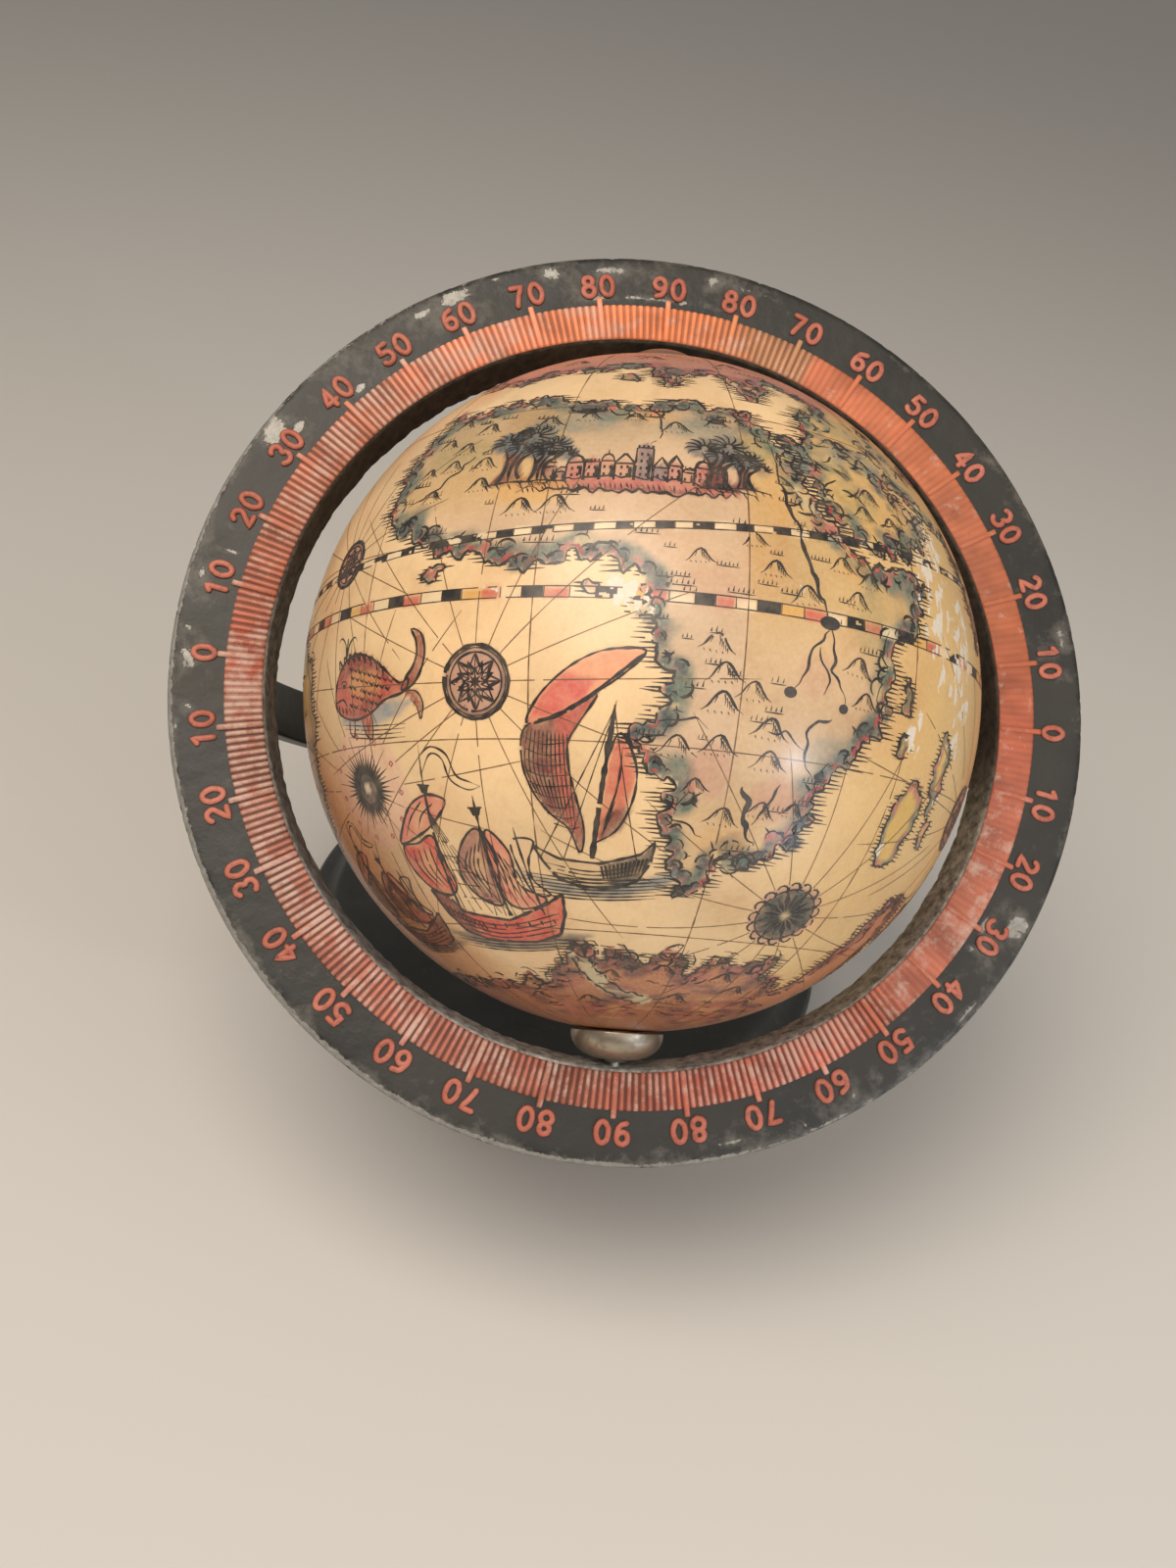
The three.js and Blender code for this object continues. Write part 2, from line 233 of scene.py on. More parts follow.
class Look:
    """A material with one Principled shader, and short names for the nodes that feed it."""

    def __init__(self, name, rough=0.5, metal=0.0, **sockets):
        self.material = bpy.data.materials.new(name)
        self.material.use_nodes = True
        self.tree = self.material.node_tree
        self.tree.nodes.clear()
        self.bsdf = self.node("ShaderNodeBsdfPrincipled")
        out = self.node("ShaderNodeOutputMaterial")
        self.link(self.bsdf.outputs[0], out.inputs["Surface"])
        self.bsdf.inputs["Roughness"].default_value = rough
        self.bsdf.inputs["Metallic"].default_value = metal
        for key, value in sockets.items():
            self.bsdf.inputs[key.replace("_", " ")].default_value = value
        self.where = self.node("ShaderNodeTexCoord").outputs["Object"]

    def node(self, kind, **settings):
        n = self.tree.nodes.new(kind)
        for key, value in settings.items():
            setattr(n, key, value)
        return n

    def link(self, a, b):
        self.tree.links.new(a, b)

    def put(self, socket, value):
        if isinstance(value, bpy.types.NodeSocket):
            self.link(value, socket)
        elif isinstance(value, (tuple, list, np.ndarray)):
            socket.default_value = (*[float(v) for v in value], 1.0)[:4]
        else:
            socket.default_value = value

    def noise(self, scale, detail=4.0, rough=0.55, distort=0.0):
        n = self.node("ShaderNodeTexNoise")
        self.link(self.where, n.inputs["Vector"])
        n.inputs["Scale"].default_value = scale
        n.inputs["Detail"].default_value = detail
        n.inputs["Roughness"].default_value = rough
        n.inputs["Distortion"].default_value = distort
        return n.outputs["Fac"]

    def attr(self, name, colour=False):
        n = self.node("ShaderNodeAttribute", attribute_name=name)
        return n.outputs["Color" if colour else "Fac"]

    def math(self, op, a, b):
        n = self.node("ShaderNodeMath", operation=op)
        self.put(n.inputs[0], a)
        self.put(n.inputs[1], b)
        return n.outputs[0]

    def add(self, a, b):
        return self.math("ADD", a, b)

    def less(self, a, b):
        return self.math("SUBTRACT", a, b)

    def times(self, a, b):
        return self.math("MULTIPLY", a, b)

    def span(self, value, low, high, to_low=0.0, to_high=1.0):
        n = self.node("ShaderNodeMapRange")
        self.put(n.inputs["Value"], value)
        for key, v in (("From Min", low), ("From Max", high), ("To Min", to_low), ("To Max", to_high)):
            self.put(n.inputs[key], v)
        return n.outputs["Result"]

    def mix(self, fac, a, b, blend="MIX"):
        n = self.node("ShaderNodeMix", data_type="RGBA", blend_type=blend)
        self.put(n.inputs[0], fac)
        self.put(n.inputs[6], a)
        self.put(n.inputs[7], b)
        return n.outputs[2]

    def bump(self, height, distance, strength=1.0):
        n = self.node("ShaderNodeBump")
        self.put(n.inputs["Height"], height)
        n.inputs["Distance"].default_value = distance
        n.inputs["Strength"].default_value = strength
        self.link(n.outputs["Normal"], self.bsdf.inputs["Normal"])

    def set(self, key, value):
        self.put(self.bsdf.inputs[key], value)


def ring_paint():
    look = Look("ring_paint", rough=0.5, Specular_IOR_Level=0.45)
    cloud = look.noise(60, 5)
    grain = look.noise(900, 4, 0.6)
    wear = look.attr("wear")
    base = look.mix(look.span(cloud, 0.35, 0.7), lin(33, 32, 29), lin(50, 47, 41))
    dust = look.span(look.add(look.noise(240, 6, 0.7), look.times(wear, 0.35)), 0.62, 0.86)
    base = look.mix(look.times(dust, 0.55), base, lin(118, 113, 104))
    edge = look.add(look.times(look.noise(560, 7, 0.75), 1.3), wear)
    chip = look.span(edge, 1.34, 1.43)
    metal = look.mix(look.noise(900, 5, 0.7), lin(82, 80, 76), lin(186, 182, 174))
    # The bore's wall gets speckled dirt in two tones: a dark one that is painted shade, and a pale one that
    # is painted light where the lamp falls on the wall, low on its right and left
    wall_dirt_light_and_shade = look.attr("wall_dirt_light_and_shade")
    speckle = look.span(look.noise(620, 6, 0.72), 0.36, 0.66)
    dirt_in_painted_shade = look.mix(speckle, lin(34, 30, 26), lin(70, 60, 50))
    dirt_in_painted_light = look.mix(speckle, lin(92, 89, 84), lin(184, 180, 172))
    base = look.mix(wall_dirt_light_and_shade, base, look.mix(look.attr("painted_lit_side"), dirt_in_painted_shade, dirt_in_painted_light))
    look.set("Base Color", look.mix(chip, base, metal))
    look.set("Roughness", look.span(look.add(cloud, wall_dirt_light_and_shade), 0.3, 1.4, 0.42, 0.8))
    look.set("Metallic", look.times(chip, 0.35))
    height = look.add(look.times(grain, 0.6), look.noise(220, 4))
    height = look.less(height, look.times(chip, 0.6))
    look.bump(height, 0.00012, 0.8)
    return look.material


def scale_paint():
    """The red filling of the degree band: its colour comes with the sector, its crests are worn, and its
    grooves get a darker copy of the paint as painted shade.
    """
    look = Look("scale_paint", rough=0.52, Specular_IOR_Level=0.4)
    tone = look.attr("tone", True)
    crest = look.attr("crest")
    worn = look.attr("worn")
    # Painted shade in the grooves between the ticks: the sector's paint darkened
    shaded_groove = look.mix(0.58, tone, lin(56, 34, 26), "MULTIPLY")
    shaded_groove = look.mix(0.3, shaded_groove, lin(74, 46, 38))
    base = look.mix(crest, shaded_groove, tone)
    patch = look.add(look.noise(260, 6, 0.7), look.times(worn, 0.34))
    rub = look.times(look.span(patch, 0.62, 0.78), crest)
    base = look.mix(look.times(rub, 0.78), base, lin(200, 172, 156))
    dirt = look.span(look.noise(500, 6, 0.75), 0.56, 0.75)
    base = look.mix(look.times(dirt, 0.4), base, lin(84, 60, 48))
    look.set("Base Color", base)
    look.bump(look.noise(1400, 4), 0.00006, 0.6)
    return look.material


def numeral_paint():
    look = Look("numeral_paint", rough=0.5, Specular_IOR_Level=0.4)
    red = look.mix(look.span(look.noise(120, 4), 0.35, 0.7), lin(166, 86, 66), lin(192, 116, 96))
    spots = look.span(look.noise(800, 6, 0.75), 0.5, 0.7)
    red = look.mix(look.times(spots, 0.75), red, lin(104, 66, 54))
    look.set("Base Color", look.mix(look.span(look.attr("crest"), 0.15, 0.75), lin(58, 44, 38), red))
    look.bump(look.noise(1600, 3), 0.00005, 0.6)
    return look.material


def globe_paper():
    look = Look("globe_paper", rough=0.42, Specular_IOR_Level=0.4, Coat_Weight=0.45, Coat_Roughness=0.24)
    tint = look.attr("tint", True)
    scuff = look.attr("scuff")
    cloud = look.noise(85, 6, 0.6)
    fibre = look.noise(1700, 4, 0.65)
    stain = look.noise(240, 5, 0.6, 0.6)
    base = look.mix(1.0, tint, look.mix(cloud, lin(226, 218, 206), lin(255, 255, 255)), "MULTIPLY")
    base = look.mix(look.times(look.span(stain, 0.52, 0.75), 0.22), base, lin(150, 104, 60))
    base = look.mix(look.times(look.span(fibre, 0.35, 0.75), 0.12), base, lin(255, 238, 208))
    ragged = look.add(look.times(look.noise(520, 6, 0.7), 0.9), scuff)
    bare = look.span(ragged, 1.0, 1.06)
    base = look.mix(bare, base, look.mix(fibre, lin(204, 188, 164), lin(232, 220, 202)))
    look.set("Base Color", base)
    look.set("Roughness", look.span(bare, 0, 1, 0.4, 0.7))
    height = look.add(look.times(fibre, 0.35), look.noise(320, 4))
    height = look.less(height, look.times(bare, 0.5))
    look.bump(height, 0.00006, 0.5)
    return look.material


def print_ink(name, dark, light):
    look = Look(name, rough=0.45, Coat_Weight=0.35, Coat_Roughness=0.2)
    fade = look.span(look.noise(420, 5, 0.7), 0.42, 0.72)
    look.set("Base Color", look.mix(fade, dark, light))
    return look.material


def plated(name, dark, light, rough=0.34, tarnish=(90, 74, 56)):
    look = Look(name, rough=rough, metal=0.92)
    spots = look.span(look.noise(520, 6, 0.7), 0.5, 0.72)
    base = look.mix(look.noise(140, 4), dark, light)
    look.set("Base Color", look.mix(look.times(spots, 0.6), base, lin(*tarnish)))
    look.set("Roughness", look.span(spots, 0, 1, rough, rough + 0.22))
    look.bump(look.noise(1300, 4, 0.6), 0.00005, 0.5)
    return look.material


def stand_enamel():
    look = Look("stand_enamel", rough=0.45, Coat_Weight=0.15, Coat_Roughness=0.25)
    base = look.mix(look.span(look.noise(70, 5), 0.35, 0.7), lin(34, 36, 34), lin(52, 52, 47))
    dust = look.span(look.noise(260, 6, 0.72), 0.58, 0.8)
    look.set("Base Color", look.mix(look.times(dust, 0.35), base, lin(104, 100, 90)))
    look.set("Roughness", look.span(dust, 0, 1, 0.42, 0.62))
    look.bump(look.add(look.noise(600, 4, 0.6), look.noise(180, 3)), 0.0001, 0.6)
    return look.material


def plain(name, dark, light, rough, scale, depth, metal=0.0, **more):
    look = Look(name, rough=rough, metal=metal, **more)
    look.set("Base Color", look.mix(look.noise(scale, 6, 0.65), dark, light))
    look.bump(look.noise(scale * 2.3, 5, 0.7), depth, 0.8)
    return look.material


RING_PAINT = ring_paint()
SCALE_PAINT = scale_paint()
NUMERAL_PAINT = numeral_paint()
PAPER = globe_paper()
INK = print_ink("map_ink", lin(34, 30, 28), lin(86, 74, 62))
FINE_INK = print_ink("map_fine_ink", lin(104, 76, 50), lin(146, 112, 76))
RED_INK = print_ink("map_red_ink", lin(150, 62, 56), lin(184, 96, 84))
NICKEL = plated("dull_nickel", lin(150, 140, 124), lin(196, 184, 164))
STEEL = plated("steel", lin(130, 130, 130), lin(180, 180, 178), 0.3)
BRASS = plated("brass", lin(150, 112, 56), lin(196, 154, 86), 0.32, (92, 66, 38))
ENAMEL = stand_enamel()
LEATHER = plain("washer_leather", lin(78, 42, 26), lin(126, 76, 48), 0.75, 700, 0.0001)
FELT = plain("felt", lin(22, 42, 32), lin(44, 72, 56), 0.95, 2400, 0.0002, Sheen_Weight=0.6)
CARD = plain("card", lin(132, 108, 78), lin(168, 142, 106), 0.9, 900, 0.00008)

# Meridian ring ----------------------------------------------------------------------------------


def on_ring(theta, r, f):
    """Ring-local points at an angle (degrees anticlockwise from E, seen from the face)."""
    a = np.radians(theta)
    return np.stack(np.broadcast_arrays(r * np.cos(a), r * np.sin(a), f), -1)


def turned_from(theta, middle):
    """Signed difference of two angles, in degrees."""
    return (np.asarray(theta) - middle + 180) % 360 - 180


def bump_at(theta, middle, half):
    """A smooth bump of height 1 round the ring, in degrees."""
    return np.exp(-((turned_from(theta, middle) / half) ** 2))


# Millimetres along the face per degree, at its middle radius
MM_PER_DEGREE = 1.17
# Chips of the face: angle, radius, length, width and depth of wear
CHIPS = [(149, 67.1, 3.6, 2.4, 1.05), (147, 64.9, 2.2, 1.4, 0.95), (145, 63.2, 2.6, 0.9, 0.75),
         (128, 66, 26, 5, 0.42), (98, 66.4, 16, 4, 0.4), (14, 66.4, 10, 4, 0.38), (-30, 66, 9, 4, 0.4),
         (-62, 67, 24, 3, 0.34), (174, 66, 12, 4, 0.36), (119, 67.4, 4.4, 1.7, 1.02),
         (124, 67.0, 2.4, 1.2, 0.95), (113, 67.8, 2.6, 1, 0.9), (137, 62.6, 2, 0.8, 0.9),
         (106, 67.2, 2.6, 1.5, 0.95), (98, 66.9, 5, 1.2, 0.86), (91, 62.3, 13, 0.6, 0.98),
         (84, 66.8, 2.4, 1.5, 0.9), (100, 62.3, 3, 0.7, 0.95), (79, 67.4, 5, 1.3, 0.72),
         (166, 64.2, 0.7, 2.2, 0.85), (163, 65.4, 0.6, 1.4, 0.85), (177, 67.6, 1.2, 0.9, 0.9),
         (181, 66.8, 3, 2, 0.85), (187, 66.4, 1.2, 1.0, 0.95), (170, 67.0, 2, 1.4, 0.8),
         (189, 68.0, 1.4, 0.6, 0.8), (13, 67.3, 4, 1.4, 0.78), (8, 66.6, 1.8, 0.8, 0.7),
         (-27, 66.9, 3.2, 2.2, 1.05), (-29, 62.7, 2.2, 1.3, 1.0), (-40, 67.9, 4, 0.9, 0.85),
         (-66, 67.6, 4, 1, 0.82), (-75, 66.9, 3, 1, 0.82), (-33, 62.9, 1.0, 1.2, 0.85),
         (-54, 66.7, 0.9, 0.6, 0.9), (-58, 67.2, 0.8, 0.5, 0.85), (-47, 68.0, 3, 0.5, 0.55),
         (38, 67.9, 2, 0.8, 0.6), (57, 68.1, 3, 0.7, 0.55), (-84, 67.4, 3.4, 0.8, 0.6),
         (-104, 68.0, 4, 0.7, 0.6), (-140, 68.4, 16, 0.5, 0.62), (-160, 68.3, 9, 0.5, 0.6),
         (-118, 68.3, 9, 0.5, 0.55), (-150, 66.5, 1.2, 0.8, 0.7)]


def build_ring():
    steps = 900
    theta = np.linspace(0, 360, steps, endpoint=False)
    line = rounded([
        (BORE_BACK + 4, BACK, 0), (RING_R, BACK, 1.25), (RING_R, FACE, 1.25), (BORE, FACE, 0.45),
        (BORE_BACK, BACK, 0.45), (BORE_BACK + 4, BACK, 0),
    ], 1, 6)[:-1]
    profile = []
    for i, p in enumerate(line):
        q = line[(i + 1) % len(line)]
        count = max(1, int(np.linalg.norm(q - p) / 1.1))
        profile += [p + (q - p) * k / count for k in range(count)]
    profile = np.array(profile)
    r = np.repeat(profile[:, :1], steps, 1)
    f = np.repeat(profile[:, 1:], steps, 1)
    th = np.repeat(theta[None], len(profile), 0)
    p = on_ring(th.ravel(), r.ravel(), f.ravel())
    lump = ripple(p, 9, 1) * 0.02 + ripple(p, 3, 2) * 0.015
    wall = smoothstep(f, FACE - 0.2, FACE - 0.9) * smoothstep(r, BORE + 0.8, BORE)
    rough = (np.maximum(ripple(p, 2.2, 3), -0.5) * 0.07 + ripple(p, 5, 4) * 0.05).reshape(r.shape)
    arris = np.exp(-(((r - BORE - 0.2) / 0.5) ** 2 + ((f - FACE) / 0.6) ** 2))
    nick = 0.9 * bump_at(th, -45, 1.3) + 0.5 * bump_at(th, -41, 0.8) + 0.35 * bump_at(th, -52, 0.9)
    shift = wall * rough + arris * (0.1 * np.abs(ripple(p, 1.6, 5)).reshape(r.shape))
    shift += wall * smoothstep(f, -1, FACE) * nick * 0.7
    rim = smoothstep(r, RING_R - 1.2, RING_R - 0.2)
    bite = np.maximum(ripple(p, 2.0, 6).reshape(r.shape) - 1.1, 0)
    r2 = r + shift - rim * np.minimum(bite * 0.22, 0.25) - rim * 0.03
    f2 = f + lump.reshape(r.shape) * smoothstep(r, BORE + 0.2, BORE + 1.5)
    f2 -= smoothstep(f, FACE - 0.8, FACE) * rim * bite * 0.12
    shells = Shells()
    worn = on_ring(th.ravel(), r2.ravel(), f2.ravel())
    shells.add(from_ring(worn), grid_faces(len(profile), steps, close_rows=True))
    # Lugs on the back, rounded about the trunnion axis, which lies this deep behind the centre
    half, deep = 5.5, 12.0
    a = np.radians(np.linspace(180, 360, 25))
    foot = [[half, BACK + 1], [-half, BACK + 1]]
    outline = np.vstack([np.stack([half * np.cos(a), half * np.sin(a) - deep], -1), foot])
    inset = (outline - outline.mean(0)) * [0.93, 0.95] + outline.mean(0)
    layers = [(57.0, inset), (57.4, outline), (60.8, outline), (61.2, inset)]
    n = len(outline)
    lug = np.concatenate([np.column_stack([np.full(n, x), l]) for x, l in layers])
    for side in (1, -1):
        co, faces = mirrored(lug, tube_faces(len(layers), n), side)
        shells.add(from_ring(co), faces)
    co, faces = shells.all()
    obj = piece("meridian_ring_body", co, faces, RING_PAINT, "ring", ["meridian_ring"])
    # Wear of the rim and the chips of the face, then the bore's wall: its speckled dirt, with painted light
    # low on the right and left and painted shade elsewhere
    t, rr, ff = th.ravel(), r.ravel(), f.ravel()
    edge = np.exp(-(((rr - RING_R) / 1.2) ** 2 + ((ff - FACE) / 1.1) ** 2))
    edge += 0.6 * np.exp(-(((rr - RING_R) / 0.9) ** 2 + ((ff - BACK) / 0.9) ** 2))
    face = smoothstep(ff, FACE - 1.2, FACE - 0.1)
    chips = np.zeros(r.size)
    for at, r0, along, across, s in CHIPS:
        turned = turned_from(t, at) * MM_PER_DEGREE / along
        chips = np.maximum(chips, s * np.exp(-(turned ** 2 + ((rr - r0) / across) ** 2)))
    wear = np.maximum((0.78 + 0.34 * np.cos(np.radians(t + 140))) * edge, chips * face)
    wall_dirt_light_and_shade = np.clip(smoothstep(rr, BORE + 0.9, BORE + 0.1) * 1.2, 0, 1)
    attribute(obj, "wear", np.clip(wear + 0.05, 0, 1))
    attribute(obj, "wall_dirt_light_and_shade", wall_dirt_light_and_shade)
    # Painted light on the bore's wall: strongest low on the right, weaker low on the left
    painted_lit_side = smoothstep(np.cos(np.radians(t + 64)), 0.45, 0.8)
    painted_lit_side = painted_lit_side + 0.5 * smoothstep(np.cos(np.radians(t + 135)), 0.3, 0.8)
    attribute(obj, "painted_lit_side", np.clip(painted_lit_side, 0, 1))


def around(stops, theta):
    """Values given at angles round the circle, blended between them."""
    stops = sorted(stops)
    at = np.array([s[0] for s in stops], float)
    val = np.array([s[1] for s in stops], float).reshape(len(stops), -1)
    at = np.concatenate([[at[-1] - 360], at, [at[0] + 360]])
    val = np.vstack([val[-1:], val, val[:1]])
    theta = np.asarray(theta) % 360
    return np.stack([np.interp(theta, at, val[:, k]) for k in range(val.shape[1])], -1)


# The degree band's paint, the height of its ridges and their wear, at angles round the ring
BAND_TONES = [
    (0, lin(176, 92, 64)), (15, lin(164, 90, 58)), (30, lin(172, 98, 66)), (45, lin(180, 102, 67)),
    (62, lin(194, 110, 74)), (66.5, lin(196, 110, 74)), (68, lin(176, 126, 92)), (75, lin(184, 130, 92)),
    (82, lin(216, 130, 84)), (92, lin(228, 132, 84)), (105, lin(242, 146, 102)), (120, lin(240, 148, 112)),
    (135, lin(206, 134, 108)), (160, lin(182, 110, 86)), (172, lin(176, 104, 82)), (178, lin(172, 90, 68)),
    (187, lin(168, 88, 66)), (191, lin(162, 106, 88)), (215, lin(178, 110, 88)), (240, lin(180, 108, 88)),
    (262, lin(158, 92, 72)), (285, lin(186, 102, 82)), (300, lin(216, 120, 98)), (311, lin(184, 104, 80)),
    (330, lin(180, 105, 80)), (348, lin(174, 97, 73)),
]
BAND_RELIEF = [
    (0, 0.18), (8, 0.15), (25, 0.15), (55, 0.18), (66, 0.25), (68, 0.8), (74, 0.8), (90, 0.75), (112, 0.85),
    (140, 1), (175, 0.9), (180, 0.55), (187, 0.6), (190, 1), (240, 1), (300, 1), (311, 1), (315, 0.25),
    (335, 0.15), (352, 0.16),
]
BAND_WORN = [
    (0, 0.1), (60, 0.1), (90, 0.35), (120, 0.6), (140, 0.55), (170, 0.35), (190, 0.75), (215, 0.6),
    (240, 0.5), (270, 0.4), (285, 0.45), (300, 0.8), (312, 0.4), (340, 0.4),
]


# How far the feet of the raised parts sink into the ring's face
SUNK = 0.25


def build_band():
    per = 8
    steps = 360 * per
    theta = np.arange(steps) / per
    phase = np.abs(turned_from(theta % 1 * 360, 0)) / 180
    ridge = 1 - smoothstep(phase, 0.38, 0.78)
    relief = around(BAND_RELIEF, theta)[:, 0]
    height = 0.06 + 0.36 * ridge * relief + 0.12 * (1 - relief)
    # Radius, height above the face, and whether that height is a share of the ridge's own
    rows = [(55.75, -SUNK, 0), (55.8, 0.7, 1), (56.15, 1, 1), (57.8, 1, 1), (59.5, 1, 1), (60.9, 1, 1),
            (61.25, 0.7, 1), (61.3, -SUNK, 0)]
    co, crest = [], []
    for r, up, on in rows:
        f = FACE + (height * up if on else up)
        co.append(on_ring(theta, np.full(steps, r), f))
        crest.append((ridge * relief + (1 - relief)) * (1 if on else 0.2))
    p = np.concatenate(co)
    obj = piece("degree_band", from_ring(p), grid_faces(len(rows), steps, close_rows=True)[:, ::-1],
                SCALE_PAINT, "ring")
    t = np.tile(theta, len(rows))
    blotch = 1 + 0.1 * ripple(p, 7, 8) + 0.06 * ripple(p, 2.2, 9)
    attribute(obj, "tone", np.clip(around(BAND_TONES, t) * blotch[:, None], 0, 1))
    attribute(obj, "crest", np.concatenate(crest))
    attribute(obj, "worn", around(BAND_WORN, t)[:, 0])


def build_bars():
    """The longer, wider tick at each tenth degree."""
    section = np.array([(-1, -0.3), (-0.98, 0.55), (-0.6, 1), (0.6, 1), (0.98, 0.55), (1, -0.3)])
    rows = [(55.9, 0.5), (56.1, 0.95), (58.5, 1), (61.5, 1), (62.2, 0.95), (62.45, 0.5)]
    shells, tones = Shells(), []
    for k in range(36):
        theta = 10.0 * k
        a = math.radians(theta)
        high = 0.3 + 0.22 * around(BAND_RELIEF, theta)[0]
        co = []
        for r, s in rows:
            side = section[:, 0] * 0.42 * (0.75 + 0.25 * s)
            up = FACE + np.where(section[:, 1] < 0, -SUNK, high * section[:, 1] * s)
            x, y = r * math.cos(a) - side * math.sin(a), r * math.sin(a) + side * math.cos(a)
            co.append(np.stack([x, y, up], -1))
        shells.add(from_ring(np.concatenate(co)), tube_faces(len(rows), len(section)))
        tones += [theta] * (len(section) * len(rows))
    co, faces = shells.all()
    obj = piece("ten_degree_bars", co, faces, SCALE_PAINT, "ring")
    attribute(obj, "tone", np.clip(around(BAND_TONES, np.array(tones)) * 1.08, 0, 1))
    attribute(obj, "crest", np.ones(len(co)))
    attribute(obj, "worn", around(BAND_WORN, np.array(tones))[:, 0])


def bow(cx, cy, rx, ry, start, end, steps):
    """An arc of an ellipse, in degrees."""
    a = np.radians(np.linspace(start, end, steps))
    return np.stack([cx + rx * np.cos(a), cy + ry * np.sin(a)], -1)


# Digits as centre lines in a box 0.6 wide and 1 high
DIGITS = {
    "0": [bow(0.3, 0.5, 0.27, 0.46, 90, 450, 27)],
    "1": [np.array([(0.08, 0.76), (0.32, 0.96), (0.32, 0.5), (0.32, 0.04)])],
    "2": [np.vstack([bow(0.3, 0.7, 0.25, 0.26, 165, -35, 14), [(0.05, 0.05), (0.57, 0.05)]])],
    "3": [np.vstack([bow(0.28, 0.73, 0.25, 0.23, 155, -75, 13),
                     bow(0.28, 0.27, 0.28, 0.25, 80, -155, 15)])],
    "4": [np.array([(0.42, 0.04), (0.42, 0.96), (0.03, 0.3), (0.6, 0.3)])],
    "5": [np.vstack([[(0.53, 0.96), (0.12, 0.96), (0.08, 0.55)],
                     bow(0.28, 0.32, 0.28, 0.28, 118, -150, 17)])],
    "6": [np.vstack([[(0.5, 0.94)], bow(0.42, 0.42, 0.36, 0.5, 120, 180, 6),
                     bow(0.31, 0.29, 0.25, 0.26, 180, 540, 22)])],
    "7": [np.array([(0.04, 0.96), (0.57, 0.96), (0.36, 0.55), (0.2, 0.04)])],
    "8": [bow(0.3, 0.74, 0.22, 0.22, -90, 270, 20), bow(0.3, 0.27, 0.26, 0.25, 90, 450, 22)],
    "9": [np.vstack([[(0.1, 0.06)], bow(0.18, 0.58, 0.36, 0.5, -60, 0, 6),
                     bow(0.29, 0.71, 0.25, 0.26, 0, 360, 22)])],
}


def bead(line, width, height):
    """A raised round-backed bead along a flat line: its points, its faces and how high each point is."""
    closed = np.linalg.norm(line[0] - line[-1]) < 1e-6
    if closed:
        line = line[:-1]
        tangent = np.roll(line, -1, 0) - np.roll(line, 1, 0)
    else:
        fine = [line[0]]
        for a, b in zip(line[:-1], line[1:]):
            count = max(1, int(np.linalg.norm(b - a) / 0.5))
            fine += [a + (b - a) * (k + 1) / count for k in range(count)]
        line = np.array(fine)
        tangent = np.gradient(line, axis=0)
    tangent /= np.linalg.norm(tangent, axis=1)[:, None]
    side = np.stack([-tangent[:, 1], tangent[:, 0]], -1)
    a = np.radians([-12, 12, 45, 90, 135, 168, 192])
    across, up = np.cos(a) * width / 2, np.sin(a) * height
    scale = np.ones(len(line))
    if not closed:
        tip_a, tip_b = line[0] - tangent[0] * width * 0.3, line[-1] + tangent[-1] * width * 0.3
        line = np.vstack([tip_a, line, tip_b])
        side = np.vstack([side[:1], side, side[-1:]])
        scale = np.concatenate([[0.45], scale, [0.45]])
    co = line[:, None] + side[:, None] * (across[None, :, None] * scale[:, None, None])
    lift = up[None] * (0.5 + 0.5 * scale[:, None])
    lift[:, [0, -1]] = -SUNK
    co = np.concatenate([co, lift[..., None]], -1)
    n = len(a)
    faces = grid_faces(len(line), n, close_rows=True) if closed else tube_faces(len(line), n)
    return co.reshape(-1, 3), faces, np.clip(lift.ravel() / height, 0, 1)


def build_numerals():
    shells, crest = Shells(), []
    tall, wide, pitch, middle = 3.3, 3.3, 2.9, 64.4
    bead_width, bead_height = 0.98, 0.45
    rng = np.random.default_rng(21)
    for k in range(36):
        theta = 10 * k
        text = str(90 - abs(90 - theta % 180))
        a = math.radians(theta)
        out = np.array([math.cos(a), math.sin(a)])
        across = np.array([math.sin(a), -math.cos(a)])
        for i, char in enumerate(text):
            offset = (i - (len(text) - 1) / 2) * pitch
            for stroke in DIGITS[char]:
                line = (stroke - [0.3, 0.5]) * [wide, tall] + rng.normal(0, 0.02, stroke.shape)
                if np.linalg.norm(stroke[0] - stroke[-1]) < 1e-6:
                    line[-1] = line[0]
                co, faces, high = bead(line, bead_width, bead_height)
                u, v = co[:, 0] + offset, co[:, 1]
                flat = column(middle + v) * out + column(u) * across
                shells.add(from_ring(np.column_stack([flat, FACE + co[:, 2]])), faces)
                crest.append(high)
    co, faces = shells.all()
    obj = piece("degree_numerals", co, faces, NUMERAL_PAINT, "ring")
    attribute(obj, "crest", np.concatenate(crest))


build_ring()
build_band()
build_bars()
build_numerals()

# Pole cups --------------------------------------------------------------------------------------

for pole, sign in (("north", 1), ("south", -1)):
    a = np.radians(np.linspace(0, 90, 22))
    bell = np.stack([1.7 + 5.1 * np.cos(a) ** 0.97, 50.25 + 3.85 * np.sin(a) ** 0.95], -1)
    hollow_r = 50.36
    under = np.array([(r, math.sqrt(hollow_r ** 2 - r ** 2)) for r in (1.1, 2.2, 3.3, 4.4, 5.5, 6.4)])
    lip = [(6.6, 49.94), (6.74, 49.98), (6.8, 50.1)]
    crown = [(1.62, 54.38), (1.45, 54.45), (1.1, 54.45)]
    co, faces = lathe(np.vstack([under, lip, bell, crown]), 96)
    co = about(co, "N") * [sign, sign, 1]
    piece(f"{pole}_cup_bell", from_ring(co), faces, NICKEL, "ring", [f"{pole}_pole_cup"])

# Globe: the printed map -------------------------------------------------------------------------

# The map's longitude that faces forwards, and the one that its lists start from
FRONT = 19.0
WEST = -75.0


